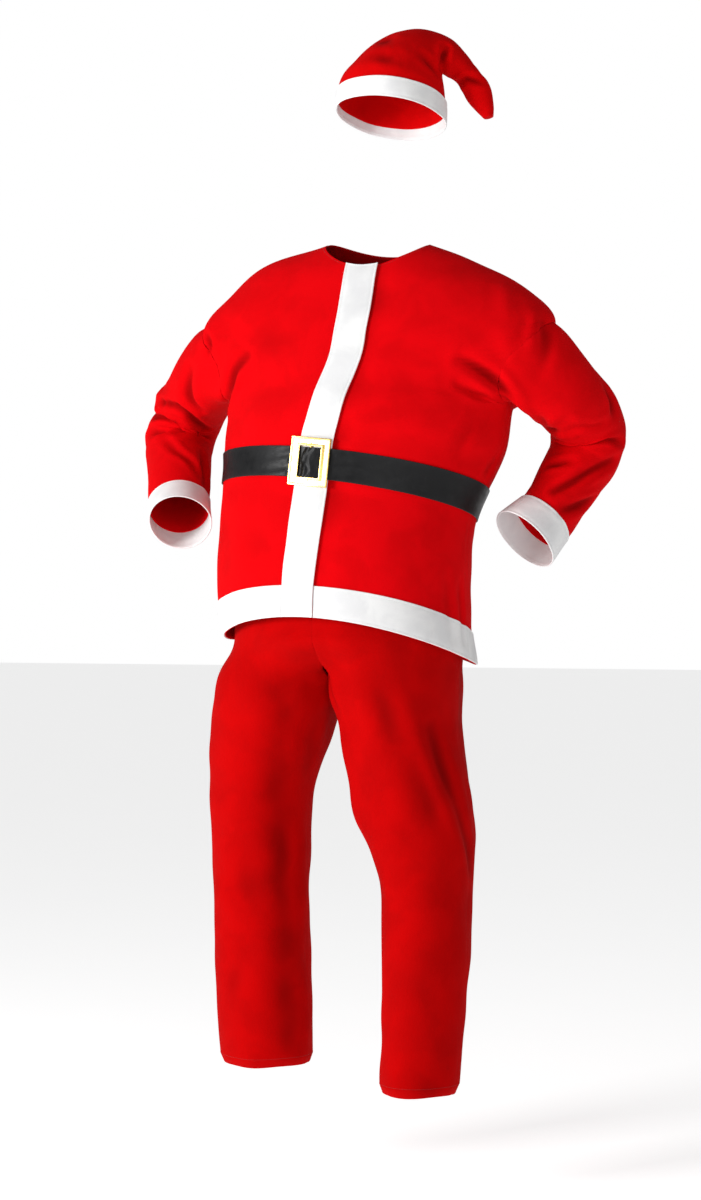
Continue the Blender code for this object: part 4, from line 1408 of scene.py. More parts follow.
JACKET_CREASES = creases(
    (8, 10, (-195, -102, -178), (-220, -91, -199), (-232, -81, -223), (-246, -55, -245), (-250, -20, -255)),
    (5, 7, (-289, -54, -133), (-278, -66, -151), (-280, -64, -169)),
    (9, 9.5, (183, -101, -196), (209, -88, -212), (229, -73, -229), (245, -50, -252), (250, -20, -262)),
    (6, 6.5, (176, -100, -236), (205, -78, -251), (231, -54, -256), (245, -20, -262)),
    (3, 12, (204, -6, -357), (194, -10, -375), (183, -23, -395)),
    (2.5, 12, (198, -76, -290), (185, -86, -314), (172, -89, -340)),
    (-2.2, 12, (232, -33, -77), (242, -62, -120)),
    (-2.8, 12, (245, -76, -156), (252, -70, -178), (260, -64, -199)),
    (4, 12, (296, -26, -136), (303, -31, -160), (302, -40, -190), (292, -45, -216)),
    (-3.5, 10, (283, -34, -125), (283, -47, -152), (276, -57, -181)),
    (1.8, 18, (143, -106, -142), (182, -98, -149), (220, -86, -163)),
    (1.6, 14, (73, -142, -221), (99, -135, -220), (122, -127, -228)),
    (1.6, 12, (45, -166, -281), (66, -160, -279), (89, -153, -276)),
    (3, 8, (153, -31, -553), (154, -23, -599), (158, -25, -645)),
    (2, 9, (143, -66, -537), (145, -61, -589), (150, -60, -641)),
    (3, 18, (200, 100, -235), (175, 120, -275), (130, 140, -310)),
    (3, 18, (-200, 100, -235), (-185, 120, -270), (-150, 140, -310)),
    (3, 22, (-20, 130, -140), (-30, 155, -240), (-40, 168, -340)),
    (3, 18, (90, 120, -160), (70, 150, -250), (50, 165, -350)),
)
JACKET_RELIEF = Relief(
    creases=JACKET_CREASES,
    waves=(Waves(0.0011, 0.06, 0.24, seed=4),),
    limit=beside_belt,
    extra=belt_gathers,
)


def band_side(side: int, beyond: float = 0.0) -> Callable[[Array], Array]:
    """The front band's edge, or a place so many metres beyond it; side is -1 or 1."""

    def angle(level: Array) -> Array:
        """Its angle at each level."""
        return band_angle(level) + side * turn_of(BAND_WIDTH / 2 + beyond, level)

    return angle


def side_seam(turn: float, way: int) -> Callable[[Array], Array]:
    """A panel's edge on one side of the side seam at this turn, or of the armhole there."""

    def angle(level: Array) -> Array:
        """Its angle at each level."""
        row = rows_at(JACKET, level)
        gap = np.degrees(SEWN_GAP / 2 / np.minimum(row.front, row.back))
        return turn + way * (armhole_turn(level) + gap)

    return angle


@dataclass(frozen=True)
class Panel:
    """One body panel of the jacket.

    Attributes:
        first: The angle of its left edge at each level.
        last: The angle of its right edge.
        width: Its usual width in metres.
        left: How it ends on the left.
        right: How it ends on the right.
        tucked: Whether it steps in to pass under the front band.
    """

    first: Callable[[Array], Array]
    last: Callable[[Array], Array]
    width: float
    left: Edge = Edge.SEAM
    right: Edge = Edge.SEAM
    tucked: bool = False

    @property
    def edges(self) -> Edges:
        """How it ends on all sides."""
        return Edges(self.left, self.right, Edge.CUT, Edge.CUT)

    def grid(self, levels: Array) -> Grid:
        """The panel's places on the given levels."""
        shares = spaced(self.width, self.left, self.right)
        level = levels[:, None]
        angle = self.first(level) + (self.last(level) - self.first(level)) * shares
        points, normals = jacket_at(angle, level)
        lift = 0.0
        if self.tucked:
            past = np.radians(angle - band_side(1)(level)) * rows_at(JACKET, level).half_width
            lift = -(CLOTH + 2 * SEAM) * (1 - ease(past, 0.0, LAP_EASE))
        return Grid(points, normals, lift)


BACK_PANEL = Panel(side_seam(90, 1), side_seam(270, -1), 0.66)
PANELS = {
    "front_right": Panel(side_seam(-90, 1), band_side(1), 0.37, right=Edge.CUT),
    "front_left": Panel(band_angle, side_seam(90, -1), 0.35, left=Edge.CUT, tucked=True),
    "back": BACK_PANEL,
}
HEM_PANELS = {
    "front_right": Panel(side_seam(-90, 1), band_side(-1, SEAM), 0.31, right=Edge.CUT),
    "front_left": Panel(band_side(1, SEWN_GAP), side_seam(90, -1), 0.32, left=Edge.JOIN, tucked=True),
    "back": BACK_PANEL,
}


@dataclass(frozen=True)
class Jacket:
    """The jacket's body panels, with the white bands round its hem and down its front.

    Attributes:
        hem_band: Height of the bands round the hem.
    """

    hem_band: float = 0.051

    def build(self, finishes: Finishes) -> None:
        """Makes the panels, the bands and their stitches."""
        levels = jacket_levels()
        for name, panel in PANELS.items():
            label = f"felt_{name}"
            grid = panel.grid(levels)
            sheet = Sheet(label, f"jacket_{name}", RED_FELT, grid, JACKET_RELIEF, panel.edges)
            sheet.build(finishes.jacket)
            STITCHES.build(label, sheet.stitch_lines("high"), RED_FELT.slot, finishes.red_thread)
        hem_levels = HEM + self.hem_band * spaced(self.hem_band, Edge.CUT, Edge.CUT)
        for name, panel in HEM_PANELS.items():
            side = name.removeprefix("front_")
            grid, under = panel.grid(hem_levels), f"felt_{name}"
            label, node = f"hem_trim_{side}", f"hem_band_{side}"
            sew_trim(label, node, grid, JACKET_RELIEF, panel.edges, under, finishes)
        band = Panel(band_side(-1), band_side(1), BAND_WIDTH, Edge.CUT, Edge.CUT)
        grid, under = band.grid(levels), "felt_front_right"
        sew_trim("front_trim", "front_band", grid, JACKET_RELIEF, band.edges, under, finishes)


# ---- sleeves


def armhole_place(side: int, turn: Array) -> Placed:
    """Places on an armhole's edge, for a turn of 0 at the armpit and pi at the shoulder."""
    return jacket_at(*armhole_spot(side, turn))


def sleeve_root(side: int, turn: Array) -> Placed:
    """Places a seam's gap into the armhole, in line with the body's cloth."""
    points, normals = armhole_place(side, turn)
    inward = unit(np.cross(armhole_way(armhole_place, side, turn), normals)) * side
    return points + inward * ARMHOLE_GAP, normals


class Bend(NamedTuple):
    """A stretch of a sleeve's path: a straight run, then a turn about an axis."""

    start: Array
    along: Array
    run: float
    axis: Array
    turn: float
    radius: float


def turned(vector: Array, axis: Array, angle: float) -> Array:
    """The vector turned about the axis."""
    return (
        vector * math.cos(angle)
        + np.cross(axis, vector) * math.sin(angle)
        + axis * float(axis @ vector) * (1 - math.cos(angle))
    )


class SleevePath:
    """The line down the middle of a sleeve: straight runs with a rounded corner between them."""

    def __init__(self, arm: Arm) -> None:
        """Lays out the runs and the rounded corners."""
        self.arm = arm
        corners = [np.array(corner) for corner in arm.corners]
        ways = [unit(b - a) for a, b in zip(corners, corners[1:])]
        self.bends: list[Bend] = []
        start = corners[0]
        for k, radius in enumerate(arm.bends):
            turn = math.acos(float(ways[k] @ ways[k + 1]))
            cut = radius * math.tan(turn / 2)
            run = float(np.linalg.norm(corners[k + 1] - start)) - cut
            axis = unit(np.cross(ways[k], ways[k + 1]))
            self.bends.append(Bend(start, ways[k], run, axis, turn, radius))
            start = corners[k + 1] + ways[k + 1] * cut
        last = float(np.linalg.norm(corners[-1] - start))
        self.bends.append(Bend(start, ways[-1], last, ways[-1], 0.0, 0.0))
        self.length = sum(bend.run + bend.turn * bend.radius for bend in self.bends)
        armpit = plain_armhole(arm.side, np.array(0.0))[0] - corners[0]
        self.under = unit(armpit - ways[0] * float(armpit @ ways[0]))

    def at(self, distance: float) -> tuple[Array, Array, Array]:
        """The middle, the way along and the way to the under side, this far from the armhole."""
        under = self.under
        for bend in self.bends:
            arc = bend.turn * bend.radius
            if distance <= bend.run + arc or bend is self.bends[-1]:
                break
            distance -= bend.run + arc
            under = turned(under, bend.axis, bend.turn)
        if distance <= bend.run or not bend.radius:
            return bend.start + bend.along * distance, bend.along, under
        angle = (distance - bend.run) / bend.radius
        to_pivot = np.cross(bend.axis, bend.along) * bend.radius
        pivot = bend.start + bend.along * bend.run + to_pivot
        to_middle, along, under = (turned(x, bend.axis, angle) for x in (to_pivot, bend.along, under))
        return pivot - to_middle, along, under

    def tube(self, turn: Array, distance: float) -> Array:
        """Points round the round part of the sleeve; the turn starts at the armpit."""
        centre, along, under = self.at(distance)
        ahead = np.cross(under, along) * self.arm.side
        shares, heights, widths = zip(*self.arm.radii)
        high, wide = (np.interp(distance / self.length, shares, x) for x in (heights, widths))
        return centre + under * high * np.cos(turn)[:, None] + ahead * wide * np.sin(turn)[:, None]

    def points(self, turn: Array, distance: float) -> Array:
        """Points round the sleeve, which leaves the armhole outwards and swings into its tube."""
        if distance >= CAP_LENGTH:
            return self.tube(turn, distance)
        start, normals = plain_armhole(self.arm.side, turn)
        leave = unit(normals + CAP_LEAN * self.bends[0].along)
        end = self.tube(turn, CAP_LENGTH)
        arrive = unit(self.tube(turn, CAP_LENGTH + NUDGE) - end)
        reach = np.linalg.norm(end - start, axis=-1, keepdims=True)
        cap = hermite(distance / CAP_LENGTH, (start, end), (reach * leave, reach * arrive))
        return cap + armhole_ease(self.arm.side, turn) * ease_share(max(distance, 0.0))

    def ring(self, turn: Array, distance: float) -> Placed:
        """Points round the sleeve and their outward normals."""
        right = self.points(turn + NUDGE, distance) - self.points(turn - NUDGE, distance)
        above = self.points(turn, distance + NUDGE) - self.points(turn, distance - NUDGE)
        return self.points(turn, distance), unit(np.cross(right, above)) * -self.arm.side

    def grid(self, along: Array, rooted: bool = False) -> Grid:
        """The sleeve's places at these distances, the furthest one lowest."""
        turns = self.arm.side * np.linspace(0, 2 * math.pi, SLEEVE_COLUMNS)
        rings = [self.ring(turns, float(distance)) for distance in along]
        if rooted:
            rings[0] = sleeve_root(self.arm.side, turns)
        points, normals = (np.stack(x[::-1]) for x in zip(*rings))
        round_it = SLEEVE_RADIUS * ((turns + math.pi) % (2 * math.pi) - math.pi)
        flat = np.stack(np.broadcast_arrays(round_it[None, :], along[::-1, None]), axis=-1)
        return Grid(points, normals, closed=True, flat=flat)


# Lines on each sleeve laid flat: round it from its underside, to the front where positive,
# and down from the armhole.
SLEEVE_CREASES = {
    "right": creases(
        (7.425, 8.5, (106, 43), (85, 59), (61, 72), (36, 76)),
        (5.5, 6.5, (118, 158), (106, 141), (85, 114)),
        (8.775, 7.5, (85, 114), (67, 101), (46, 100), (24, 117), (-4, 145)),
        (6.5, 8, (175, 182), (142, 188), (112, 193), (82, 176), (55, 143)),
        (-4, 9.5, (165, 158), (138, 160), (112, 148)),
        (-3, 10, (165, 224), (138, 223), (112, 226)),
        (5.4, 9, (55, 262), (21, 240), (-12, 200)),
        (4.05, 9, (115, 223), (85, 246), (67, 262)),
        (4.725, 7.5, (79, 272), (58, 313), (33, 338), (15, 362), (0, 379)),
        (6.75, 9, (4, 300), (-3, 342), (-12, 386)),
        (6.75, 11, (-100, 80), (-80, 105), (-50, 120)),
        (5.4, 12, (-140, 160), (-110, 175), (-70, 170)),
    ),
    "left": creases(
        (6, 10, (49, 63), (30, 85), (15, 109)),
        (6.075, 6.5, (18, 112), (52, 91), (73, 90)),
        (5.4, 6.5, (30, 108), (73, 103), (94, 122), (112, 139)),
        (7.425, 6, (46, 190), (70, 186), (95, 184), (131, 200)),
        (6.075, 6.5, (12, 295), (36, 288), (58, 276)),
        (8.775, 9, (61, 333), (82, 303), (97, 272), (122, 231)),
        (7.425, 8.5, (94, 356), (122, 326), (149, 295)),
        (5.4, 9, (161, 112), (149, 135), (128, 147)),
        (-3.375, 10, (80, 240), (110, 215), (140, 205)),
        (6.75, 11, (-120, 110), (-90, 130), (-50, 140)),
        (5.4, 11, (-130, 210), (-100, 220), (-60, 200)),
    ),
}


@dataclass(frozen=True)
class Sleeves:
    """Both sleeves with their white cuffs.

    Attributes:
        cuff: Length of the cuffs.
        lap: How far the sleeve runs on inside the cuff.
    """

    cuff: float = 0.050
    lap: float = 0.010

    def relief(self, name: str) -> Relief:
        """The folds of a sleeve, where the jacket's run on at its armhole."""
        return Relief(JACKET_CREASES, JACKET_RELIEF.waves, flat_creases=SLEEVE_CREASES[name])

    def build(self, finishes: Finishes) -> None:
        """Makes the sleeves, the cuffs and their stitches."""
        joined = Edges(low=Edge.JOIN, high=Edge.JOIN)
        for name, arm in ARMS.items():
            path, relief, label = SleevePath(arm), self.relief(name), f"felt_sleeve_{name}"
            cuff_start = path.length - self.cuff
            end = cuff_start + self.lap
            grid = path.grid(end * spaced(end, Edge.JOIN, Edge.JOIN), rooted=True)
            Sheet(label, f"sleeve_{name}", RED_FELT, grid, relief, joined).build(finishes.jacket)
            grid = path.grid(cuff_start + self.cuff * spaced(self.cuff, Edge.CUT, Edge.CUT))
            sew_trim(f"cuff_trim_{name}", f"cuff_{name}", grid, relief, ENDS_CUT, label, finishes)


# ---- belt


class BuckleSeat(NamedTuple):
    """The buckle's place on the body: its middle, the ways across, out and up, and its height off it."""

    middle: Array
    across: Array
    out: Array
    up: Array
    height: float

    def matrix(self) -> Matrix:
        """The matrix that puts the buckle, built lying in x and z, in its place."""
        rows = np.eye(4)
        rows[:3] = np.stack((self.across, -self.out, self.up, self.middle), axis=1)
        return Matrix(rows.tolist())


@dataclass(frozen=True)
class Belt:
    """The vinyl strap and the plated buckle with its bar.

    Attributes:
        aside: How far the buckle's middle is from the band's, towards the wearer's left.
        rise: How far it is above the strap's middle.
        size: The buckle's width, depth and height.
        opening: Width and height of its opening.
        bar: The bar's width, depth and height.
        lug: Height of the lugs that hold the bar.
        stand_off: How far the bar is off the band.
        gathered: Width of the strap where it runs through the buckle.
        fine: How many degrees each side of the buckle the strap's points are close together.
        rim: Width of the buckle's raised rims.
        recess: How far its face lies below them.
        slope: Width of the step between them.
        wrinkle: Height of the strap's wrinkles in the buckle's opening.
    """

    aside: float = -0.0052
    rise: float = 0.0010
    size: tuple = (0.068, 0.003, 0.078)
    opening: tuple = (0.0375, 0.0510)
    bar: tuple = (0.004, 0.0015, 0.066)
    lug: float = 0.004
    stand_off: float = 0.0016
    gathered: float = 0.0485
    fine: float = 12
    rim: float = 0.0030
    recess: float = 0.0007
    slope: float = 0.0005
    wrinkle: float = 0.0016

    def angle(self, metres: float = 0.0) -> float:
        """The angle of a place along the strap, measured from the middle of the buckle."""
        return float(band_angle(BELT) + turn_of(self.aside + metres, BELT))

    def lift(self, metres: Array | float) -> Array:
        """How far out the strap's inner face is: over the cloth, over the band, and over the bar."""
        from_band = np.abs(metres + self.aside)
        over_band = (TRIM + SEAM) * (1 - ease(from_band, BAND_WIDTH / 2, BAND_WIDTH / 2 + 0.015))
        bar_top = self.stand_off + self.bar[1] + SEAM
        return SEAM + over_band + bar_top * (1 - ease(np.abs(metres), self.bar[0], 0.014))

    def seat(self) -> BuckleSeat:
        """Where the buckle's back clears the strap and the band behind it."""
        angle, (width, _, height), opening = self.angle(), self.size, self.opening
        middle = jacket_at(angle, BELT + self.rise)[0]
        across = unit(jacket_at(angle + 4, BELT)[0] - jacket_at(angle - 4, BELT)[0])
        rise = jacket_at(angle, BELT + height / 2)[0] - jacket_at(angle, BELT - height / 2)[0]
        out = unit(np.cross(across, rise))
        reach = 0.0
        for x in np.linspace(-width / 2, width / 2, 17):
            for z in np.linspace(-height / 2, height / 2, 13):
                point, normal = jacket_at(self.angle(x), BELT + self.rise + z)
                outside = 2 * SEAM + TRIM if abs(x + self.aside) < BAND_WIDTH / 2 else SEAM
                if abs(z) < BELT_WIDTH / 2 + self.rise + SEAM and abs(x) > opening[0] / 2:
                    outside = float(self.lift(x)) + STRAP + SEAM
                elif abs(z) < opening[1] / 2:
                    continue
                reach = max(reach, float((point + normal * outside - middle) @ out))
        return BuckleSeat(middle, across, out, np.cross(out, across), reach + SEAM)

    def build(self, finishes: Finishes) -> None:
        """Makes the strap, the buckle and its bar."""
        self.build_strap(finishes)
        seat = self.seat()
        buckle, bar = self.build_frame(seat.height), self.build_bar(seat.height)
        self.paint(buckle, finishes, -seat.height)
        bar.data.materials.append(finishes.rim)
        for obj in (buckle, bar):
            obj.data.transform(seat.matrix())
            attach(obj, BODY)
            LOG.info("%s: %d faces", obj.name, len(obj.data.polygons))
        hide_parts("belt_buckle")

    def build_strap(self, finishes: Finishes) -> None:
        """Makes the strap, gathered where it runs through the buckle."""
        shares = spaced(BELT_WIDTH, Edge.CUT, Edge.CUT, step=0.0022, rounding=0.0008)[:, None] - 0.5
        middle = self.angle()
        near = middle + np.linspace(-self.fine, self.fine, 121)
        far = np.linspace(-180, near[0], 190), np.linspace(near[-1], 180, 190)
        angle = np.concatenate((far[0][:-1], near, far[1][1:]))
        metres = np.radians(angle - middle) * float(rows_at(JACKET, BELT).half_width)
        width = BELT_WIDTH + (self.gathered - BELT_WIDTH) * (1 - ease(np.abs(metres), 0.016, 0.03))
        points, normals = jacket_at(angle, BELT + shares * width)
        grid = Grid(points, normals, self.lift(metres) + self.wrinkles(metres, shares), closed=True)
        forms = FORMS | {Edge.CUT: EdgeForm()}
        strap = Sheet("vinyl_strap", "belt_strap", VINYL, grid, Relief(), ENDS_CUT, cloth=False, forms=forms)
        strap.build(finishes.vinyl)

    def wrinkles(self, metres: Array, share: Array) -> Array:
        """How far the strap's wrinkles stand out: in the buckle's opening, and fanning out beside it."""
        apart = np.abs(metres)
        inside = 1 - ease(apart, 0.0125, 0.0165)
        wave = np.sin(metres * 520 + 2.2 * np.sin(share * 7 + 0.6)) * 0.6
        wave = wave + np.sin(metres * 260 - share * 9 + 1.0) * 0.4
        opening = self.wrinkle * inside * (0.5 + 0.5 * wave)
        beside = ease(apart, 0.037, 0.043) * np.exp(-np.clip(apart - 0.04, 0, None) / 0.035)
        side = (metres > 0) * 1.4
        pleats = 0.5 + 0.5 * np.cos(share * 15 + side + np.sin(metres * 60))
        soft = 0.00035 * (1 + np.sin(metres * 31 + share * 4)) * ease(apart, 0.04, 0.08)
        return opening + 0.0013 * beside * pleats + soft

    def add_box(self, size: Sequence[float], centre: Sequence[float]) -> Object:
        """Adds a box and opens it for editing."""
        bpy.ops.mesh.primitive_cube_add(size=1.0, location=centre)
        box = bpy.context.object
        box.scale = size
        bpy.ops.object.transform_apply(location=True, rotation=False, scale=True)
        bpy.ops.object.mode_set(mode="EDIT")
        return box

    def choose(self, obj: Object, wanted: Callable[[bmesh.types.BMFace], bool]) -> None:
        """Selects only the faces that are wanted."""
        bpy.ops.mesh.select_mode(type="FACE")
        bpy.ops.mesh.select_all(action="DESELECT")
        edit = bmesh.from_edit_mesh(obj.data)
        for face in edit.faces:
            face.select_set(bool(wanted(face)))
        bmesh.update_edit_mesh(obj.data)

    def build_frame(self, height: float) -> Object:
        """The buckle's frame with raised rims, its back this high off the body."""
        size, back = self.size, -height
        obj = self.add_box(size, (0, back - size[1] / 2, 0))
        obj.name = obj.data.name = "plated_buckle"
        border = (size[2] - self.opening[1]) / 2
        face = border - 2 * (self.rim + self.slope)
        self.choose(obj, lambda f: f.normal.y < -0.9)
        steps = (self.rim, 0.0), (self.slope, self.recess), (face, 0.0), (self.slope, -self.recess)
        for width, sink in steps:
            bpy.ops.mesh.inset(thickness=width)
            bpy.ops.transform.translate(value=(0, sink, 0))
        narrow = (self.opening[0] + 2 * self.rim) / (size[0] - 2 * (border - self.rim))
        bpy.ops.transform.resize(value=(narrow, 1, 1), center_override=(0, back, 0))
        bpy.ops.mesh.inset(thickness=self.rim)
        self.choose(obj, lambda f: f.normal.y > 0.9)
        bpy.ops.mesh.inset(thickness=border)
        narrow = self.opening[0] / (size[0] - 2 * border)
        bpy.ops.transform.resize(value=(narrow, 1, 1), center_override=(0, back, 0))
        self.choose(obj, lambda f: f.calc_center_median().xz.length < 0.002)
        bpy.ops.mesh.bridge_edge_loops()
        bpy.ops.mesh.select_all(action="DESELECT")
        bpy.ops.mesh.select_mode(type="EDGE")
        bpy.ops.mesh.edges_select_sharp(sharpness=math.radians(25))
        bpy.ops.mesh.bevel(offset=0.0006, segments=3, affect="EDGES", clamp_overlap=True)
        bpy.ops.mesh.select_all(action="SELECT")
        bpy.ops.mesh.normals_make_consistent(inside=False)
        bpy.ops.object.mode_set(mode="OBJECT")
        bpy.ops.object.shade_smooth_by_angle(angle=math.radians(35))
        return obj

    def paint(self, obj: Object, finishes: Finishes, back: float) -> None:
        """Gives the rims one plating and the face between them another."""
        obj.data.materials.append(finishes.rim)
        obj.data.materials.append(finishes.face)
        width, depth, height = self.size
        for polygon in obj.data.polygons:
            x, y, z = polygon.center
            inset = min(width / 2 - abs(x), height / 2 - abs(z))
            beyond = max(abs(x) - self.opening[0] / 2, abs(z) - self.opening[1] / 2)
            facing = polygon.normal.y < -0.9 and abs(y - back + depth - self.recess) < 2e-4
            polygon.material_index = int(facing and min(inset, beyond) > self.rim)

    def build_bar(self, height: float) -> Object:
        """The bar behind the frame, with the lugs that hold it."""
        width, depth, tall = self.bar
        back = 2 * SEAM + TRIM + self.stand_off
        lug = max(height + SEAM - back, depth)
        boxes = [(self.bar, (0, -back - depth / 2, 0))]
        for end in (-1, 1):
            centre = (0, -back - lug / 2 - self.size[1] / 4, end * (tall / 2 - 0.0025))
            boxes.append(((width, lug + self.size[1] / 2, self.lug), centre))
        made = []
        for size, centre in boxes:
            made.append(self.add_box(size, centre))
            bpy.ops.mesh.select_all(action="SELECT")
            bpy.ops.mesh.bevel(offset=0.0004, segments=2, affect="EDGES")
            bpy.ops.object.mode_set(mode="OBJECT")
        bpy.ops.object.select_all(action="DESELECT")
        for obj in made:
            obj.select_set(True)
        bpy.context.view_layer.objects.active = made[0]
        bpy.ops.object.join()
        bar = bpy.context.object
        bar.name = bar.data.name = "buckle_bar"
        bpy.ops.object.shade_smooth_by_angle(angle=math.radians(35))
        return bar


# ---- trousers

TROUSER_CREASES = creases(
    (3.6, 24, (-122, -114, -743), (-136, -85, -871), (-140, -65, -949), (-139, -52, -1115),
     (-136, -46, -1290)),
    (1.5, 18, (-165, -132, -628), (-160, -134, -720)),
    (2, 16, (-100, -56, -780), (-114, -20, -880)),
    (2, 22, (-250, -80, -1020), (-205, -92, -1055)),
    (2, 22, (-240, -78, -1230), (-205, -88, -1170)),
    (6, 11, (-62, -74, -694), (-47, -80, -720), (-34, -95, -755)),
    (3.5, 18, (30, -135, -675), (52, -131, -730), (74, -121, -800)),
    (7, 14, (120, -77, -790), (138, -67, -850), (158, -48, -930), (172, -20, -1010)),
    (2.2, 20, (95, -113, -820), (125, -102, -895), (146, -90, -965)),
    (1.5, 16, (59, -128, -880), (50, -125, -940)),
    (2, 24, (106, -121, -963), (108, -121, -1053)),
    (2, 18, (145, -92, -1045), (172, -48, -1082)),
    (5, 14, (-260, 70, -760), (-220, 110, -800), (-160, 110, -830)),
    (5, 14, (-160, 100, -950), (-210, 105, -990), (-260, 70, -1020)),
    (4, 13, (-170, 85, -1030), (-220, 90, -1050), (-260, 60, -1070)),
    (5, 14, (110, 80, -790), (60, 115, -830), (0, 100, -860)),
    (5, 14, (140, 50, -960), (90, 85, -990), (40, 70, -1010)),
    (4, 13, (140, 30, -1040), (100, 55, -1060), (50, 40, -1090)),
    (4, 18, (-200, 95, -1120), (-205, 90, -1220), (-200, 85, -1330)),
    (4, 16, (100, 30, -1150), (105, 10, -1250), (110, -20, -1340)),
)


def below_jacket(points: Array) -> Array:
    """1 below the jacket's hem and little above it, where the jacket covers the trousers."""
    hem = body_points(JACKET, np.degrees(body_angle(points, JACKET[0])), HEM)[..., 2]
    return 1 - 0.85 * ease(points[..., 2] - hem, -0.02, 0.02)


def trouser_points(side: int, rows: Sequence[LegSection], front: int, s: Array, level: Array) -> Array:
    """Points on a trouser panel: s from the inseam or centre seam (0) to the outseam (1)."""
    s, level = matched(s, level)
    row = rows_at(rows, level)
    tuck = HEM_TUCK * (1 - np.clip((level - rows[0].level) / HEM_ROUND, 0, 1)) ** 2
    x = row.centre_x - (row.half_width - tuck) * np.cos(math.pi * s) * side
    y = row.centre_y - (row.half_depth - tuck) * np.sin(math.pi * s) * front
    mix = 1 - ease(level, CROTCH, RISE_TOP)
    hip = body_points(HIPS, side * (90 * s if front > 0 else 180 - 90 * s), level)
    share = mix[..., None]
    both = np.stack((x, y, level), axis=-1) * share + hip * (1 - share)
    middle = RISE_X * mix + rows_at(HIPS, level).centre_x * (1 - mix)
    kept = middle + side * np.maximum(side * (both[..., 0] - middle), 0.0)
    both[..., 0] = np.where(mix < 1, kept, both[..., 0])
    return both


@dataclass(frozen=True)
class Trousers:
    """The four trouser panels and the elastic's casing inside the waist.

    Attributes:
        gather: Depth of the casing's gathers.
        casing_low: The level of the casing's lower edge.
        width: A panel's usual width.
        relief: The folds.
    """

    gather: float = 0.0013
    casing_low: float = -0.46025
    width: float = 0.29
    relief: Relief = Relief(
        creases=TROUSER_CREASES,
        waves=(Waves(0.0013, 0.05, 0.20, (1.0, 1.0, 0.35), seed=11), Waves(0.0008, 0.05, 0.12, seed=7)),
        limit=below_jacket,
    )

    def grid(self, side: int, rows: Sequence[LegSection], front: int, edges: Edges) -> Grid:
        """The places of one panel."""
        low = rows[0].level
        level = (low + (WAIST - low) * spaced(WAIST - low, edges.low, edges.high, step=0.0048))[:, None]
        s = spaced(self.width, edges.left, edges.right)
        s = s if side * front > 0 else 1 - s
        point = partial(trouser_points, side, rows, front)
        normals = normals_of(point, np.clip(s, 0.01, 0.99), level) * side * front
        points = point(s, level)
        points[..., 1] -= front * SEWN_GAP / 2
        points[..., 0] += np.where(level >= CROTCH, side * SEWN_GAP / 2, 0.0)
        return Grid(points, normals)

    def build(self, finishes: Finishes) -> None:
        """Makes the panels, their hem stitches and the waistband."""
        edges = Edges(Edge.SEAM, Edge.SEAM, Edge.HEM, Edge.CUT)
        for name, rows in LEGS.items():
            lines = []
            for piece, front in (("front", 1), ("back", -1)):
                grid = self.grid(1 if name == "left" else -1, rows, front, edges)
                label, node = f"felt_leg_{piece}_{name}", f"trouser_{piece}_{name}"
                sheet = Sheet(label, node, RED_FELT, grid, self.relief, edges)
                sheet.build(finishes.trousers)
                lines += sheet.stitch_lines("low")
            STITCHES.build(f"leg_{name}", lines, RED_FELT.slot, finishes.red_thread)
        self.build_waistband(finishes)

    def build_waistband(self, finishes: Finishes) -> None:
        """Makes the gathered casing."""
        height = WAIST - self.casing_low
        level = (self.casing_low + height * spaced(height, Edge.CUT, Edge.CUT))[:, None]
        angle, point = np.linspace(0, 360, 361), partial(body_points, HIPS)
        points, normals = point(angle, level), normals_of(point, angle, level, 0.5)
        phase = np.radians(angle)
        pleat = 0.5 + 0.5 * np.sin(phase * 64 + 1.5 * np.sin(phase * 9))
        from_edge = np.minimum(level - self.casing_low, WAIST - level)
        grid = Grid(points, normals, -self.gather * pleat * ease(from_edge, 0.0, 0.008), closed=True)
        rests_on = ("felt_leg_front_left",)
        casing = Sheet("elastic_casing", "waistband", CASING, grid, Relief(), ENDS_CUT, "gathered", rests_on)
        casing.build(finishes.trousers)


# ---- hat

HAT_CREASES = creases(
    (5, 8, (91, -30, 308), (98, -21, 298), (104, -4, 288)),
    (8.5, 6.5, (118, 9, 326), (114, 5, 311), (106, 14, 297)),
    (7, 5.8, (126, 46, 276), (146, 34, 278), (164, 48, 276)),
    (4, 11, (29, -65, 309), (44, -69, 302), (56, -62, 306)),
    (4, 12, (24, -26, 345), (31, -43, 334)),
    (-3, 8, (149, 34, 290), (155, 47, 295)),
)


def hat_points(turn: Array, at: Array) -> Array:
    """Points on the hat, round it and from its edge (0) to its tail's end, and then across the end."""
    turn, at = matched(turn, at)
    row = rows_at(HAT, np.clip(at, 0, HAT_END))
    share = 1 - np.clip(at - HAT_END, 0, 1)
    beside, ahead = np.cos(turn) * share, -np.sin(turn) * share
    across, height = (
        (low + high) / 2 + beside * (high - low) / 2
        for low, high in ((row.low_across, row.high_across), (row.low_height, row.high_height))
    )
    depth = row.half_depth * ahead
    cos, sin = math.cos(HAT_TURN), math.sin(HAT_TURN)
    x, y = across * cos + depth * sin, across * sin - depth * cos
    return np.stack((x, y, height + row.front_lift * ahead), axis=-1)


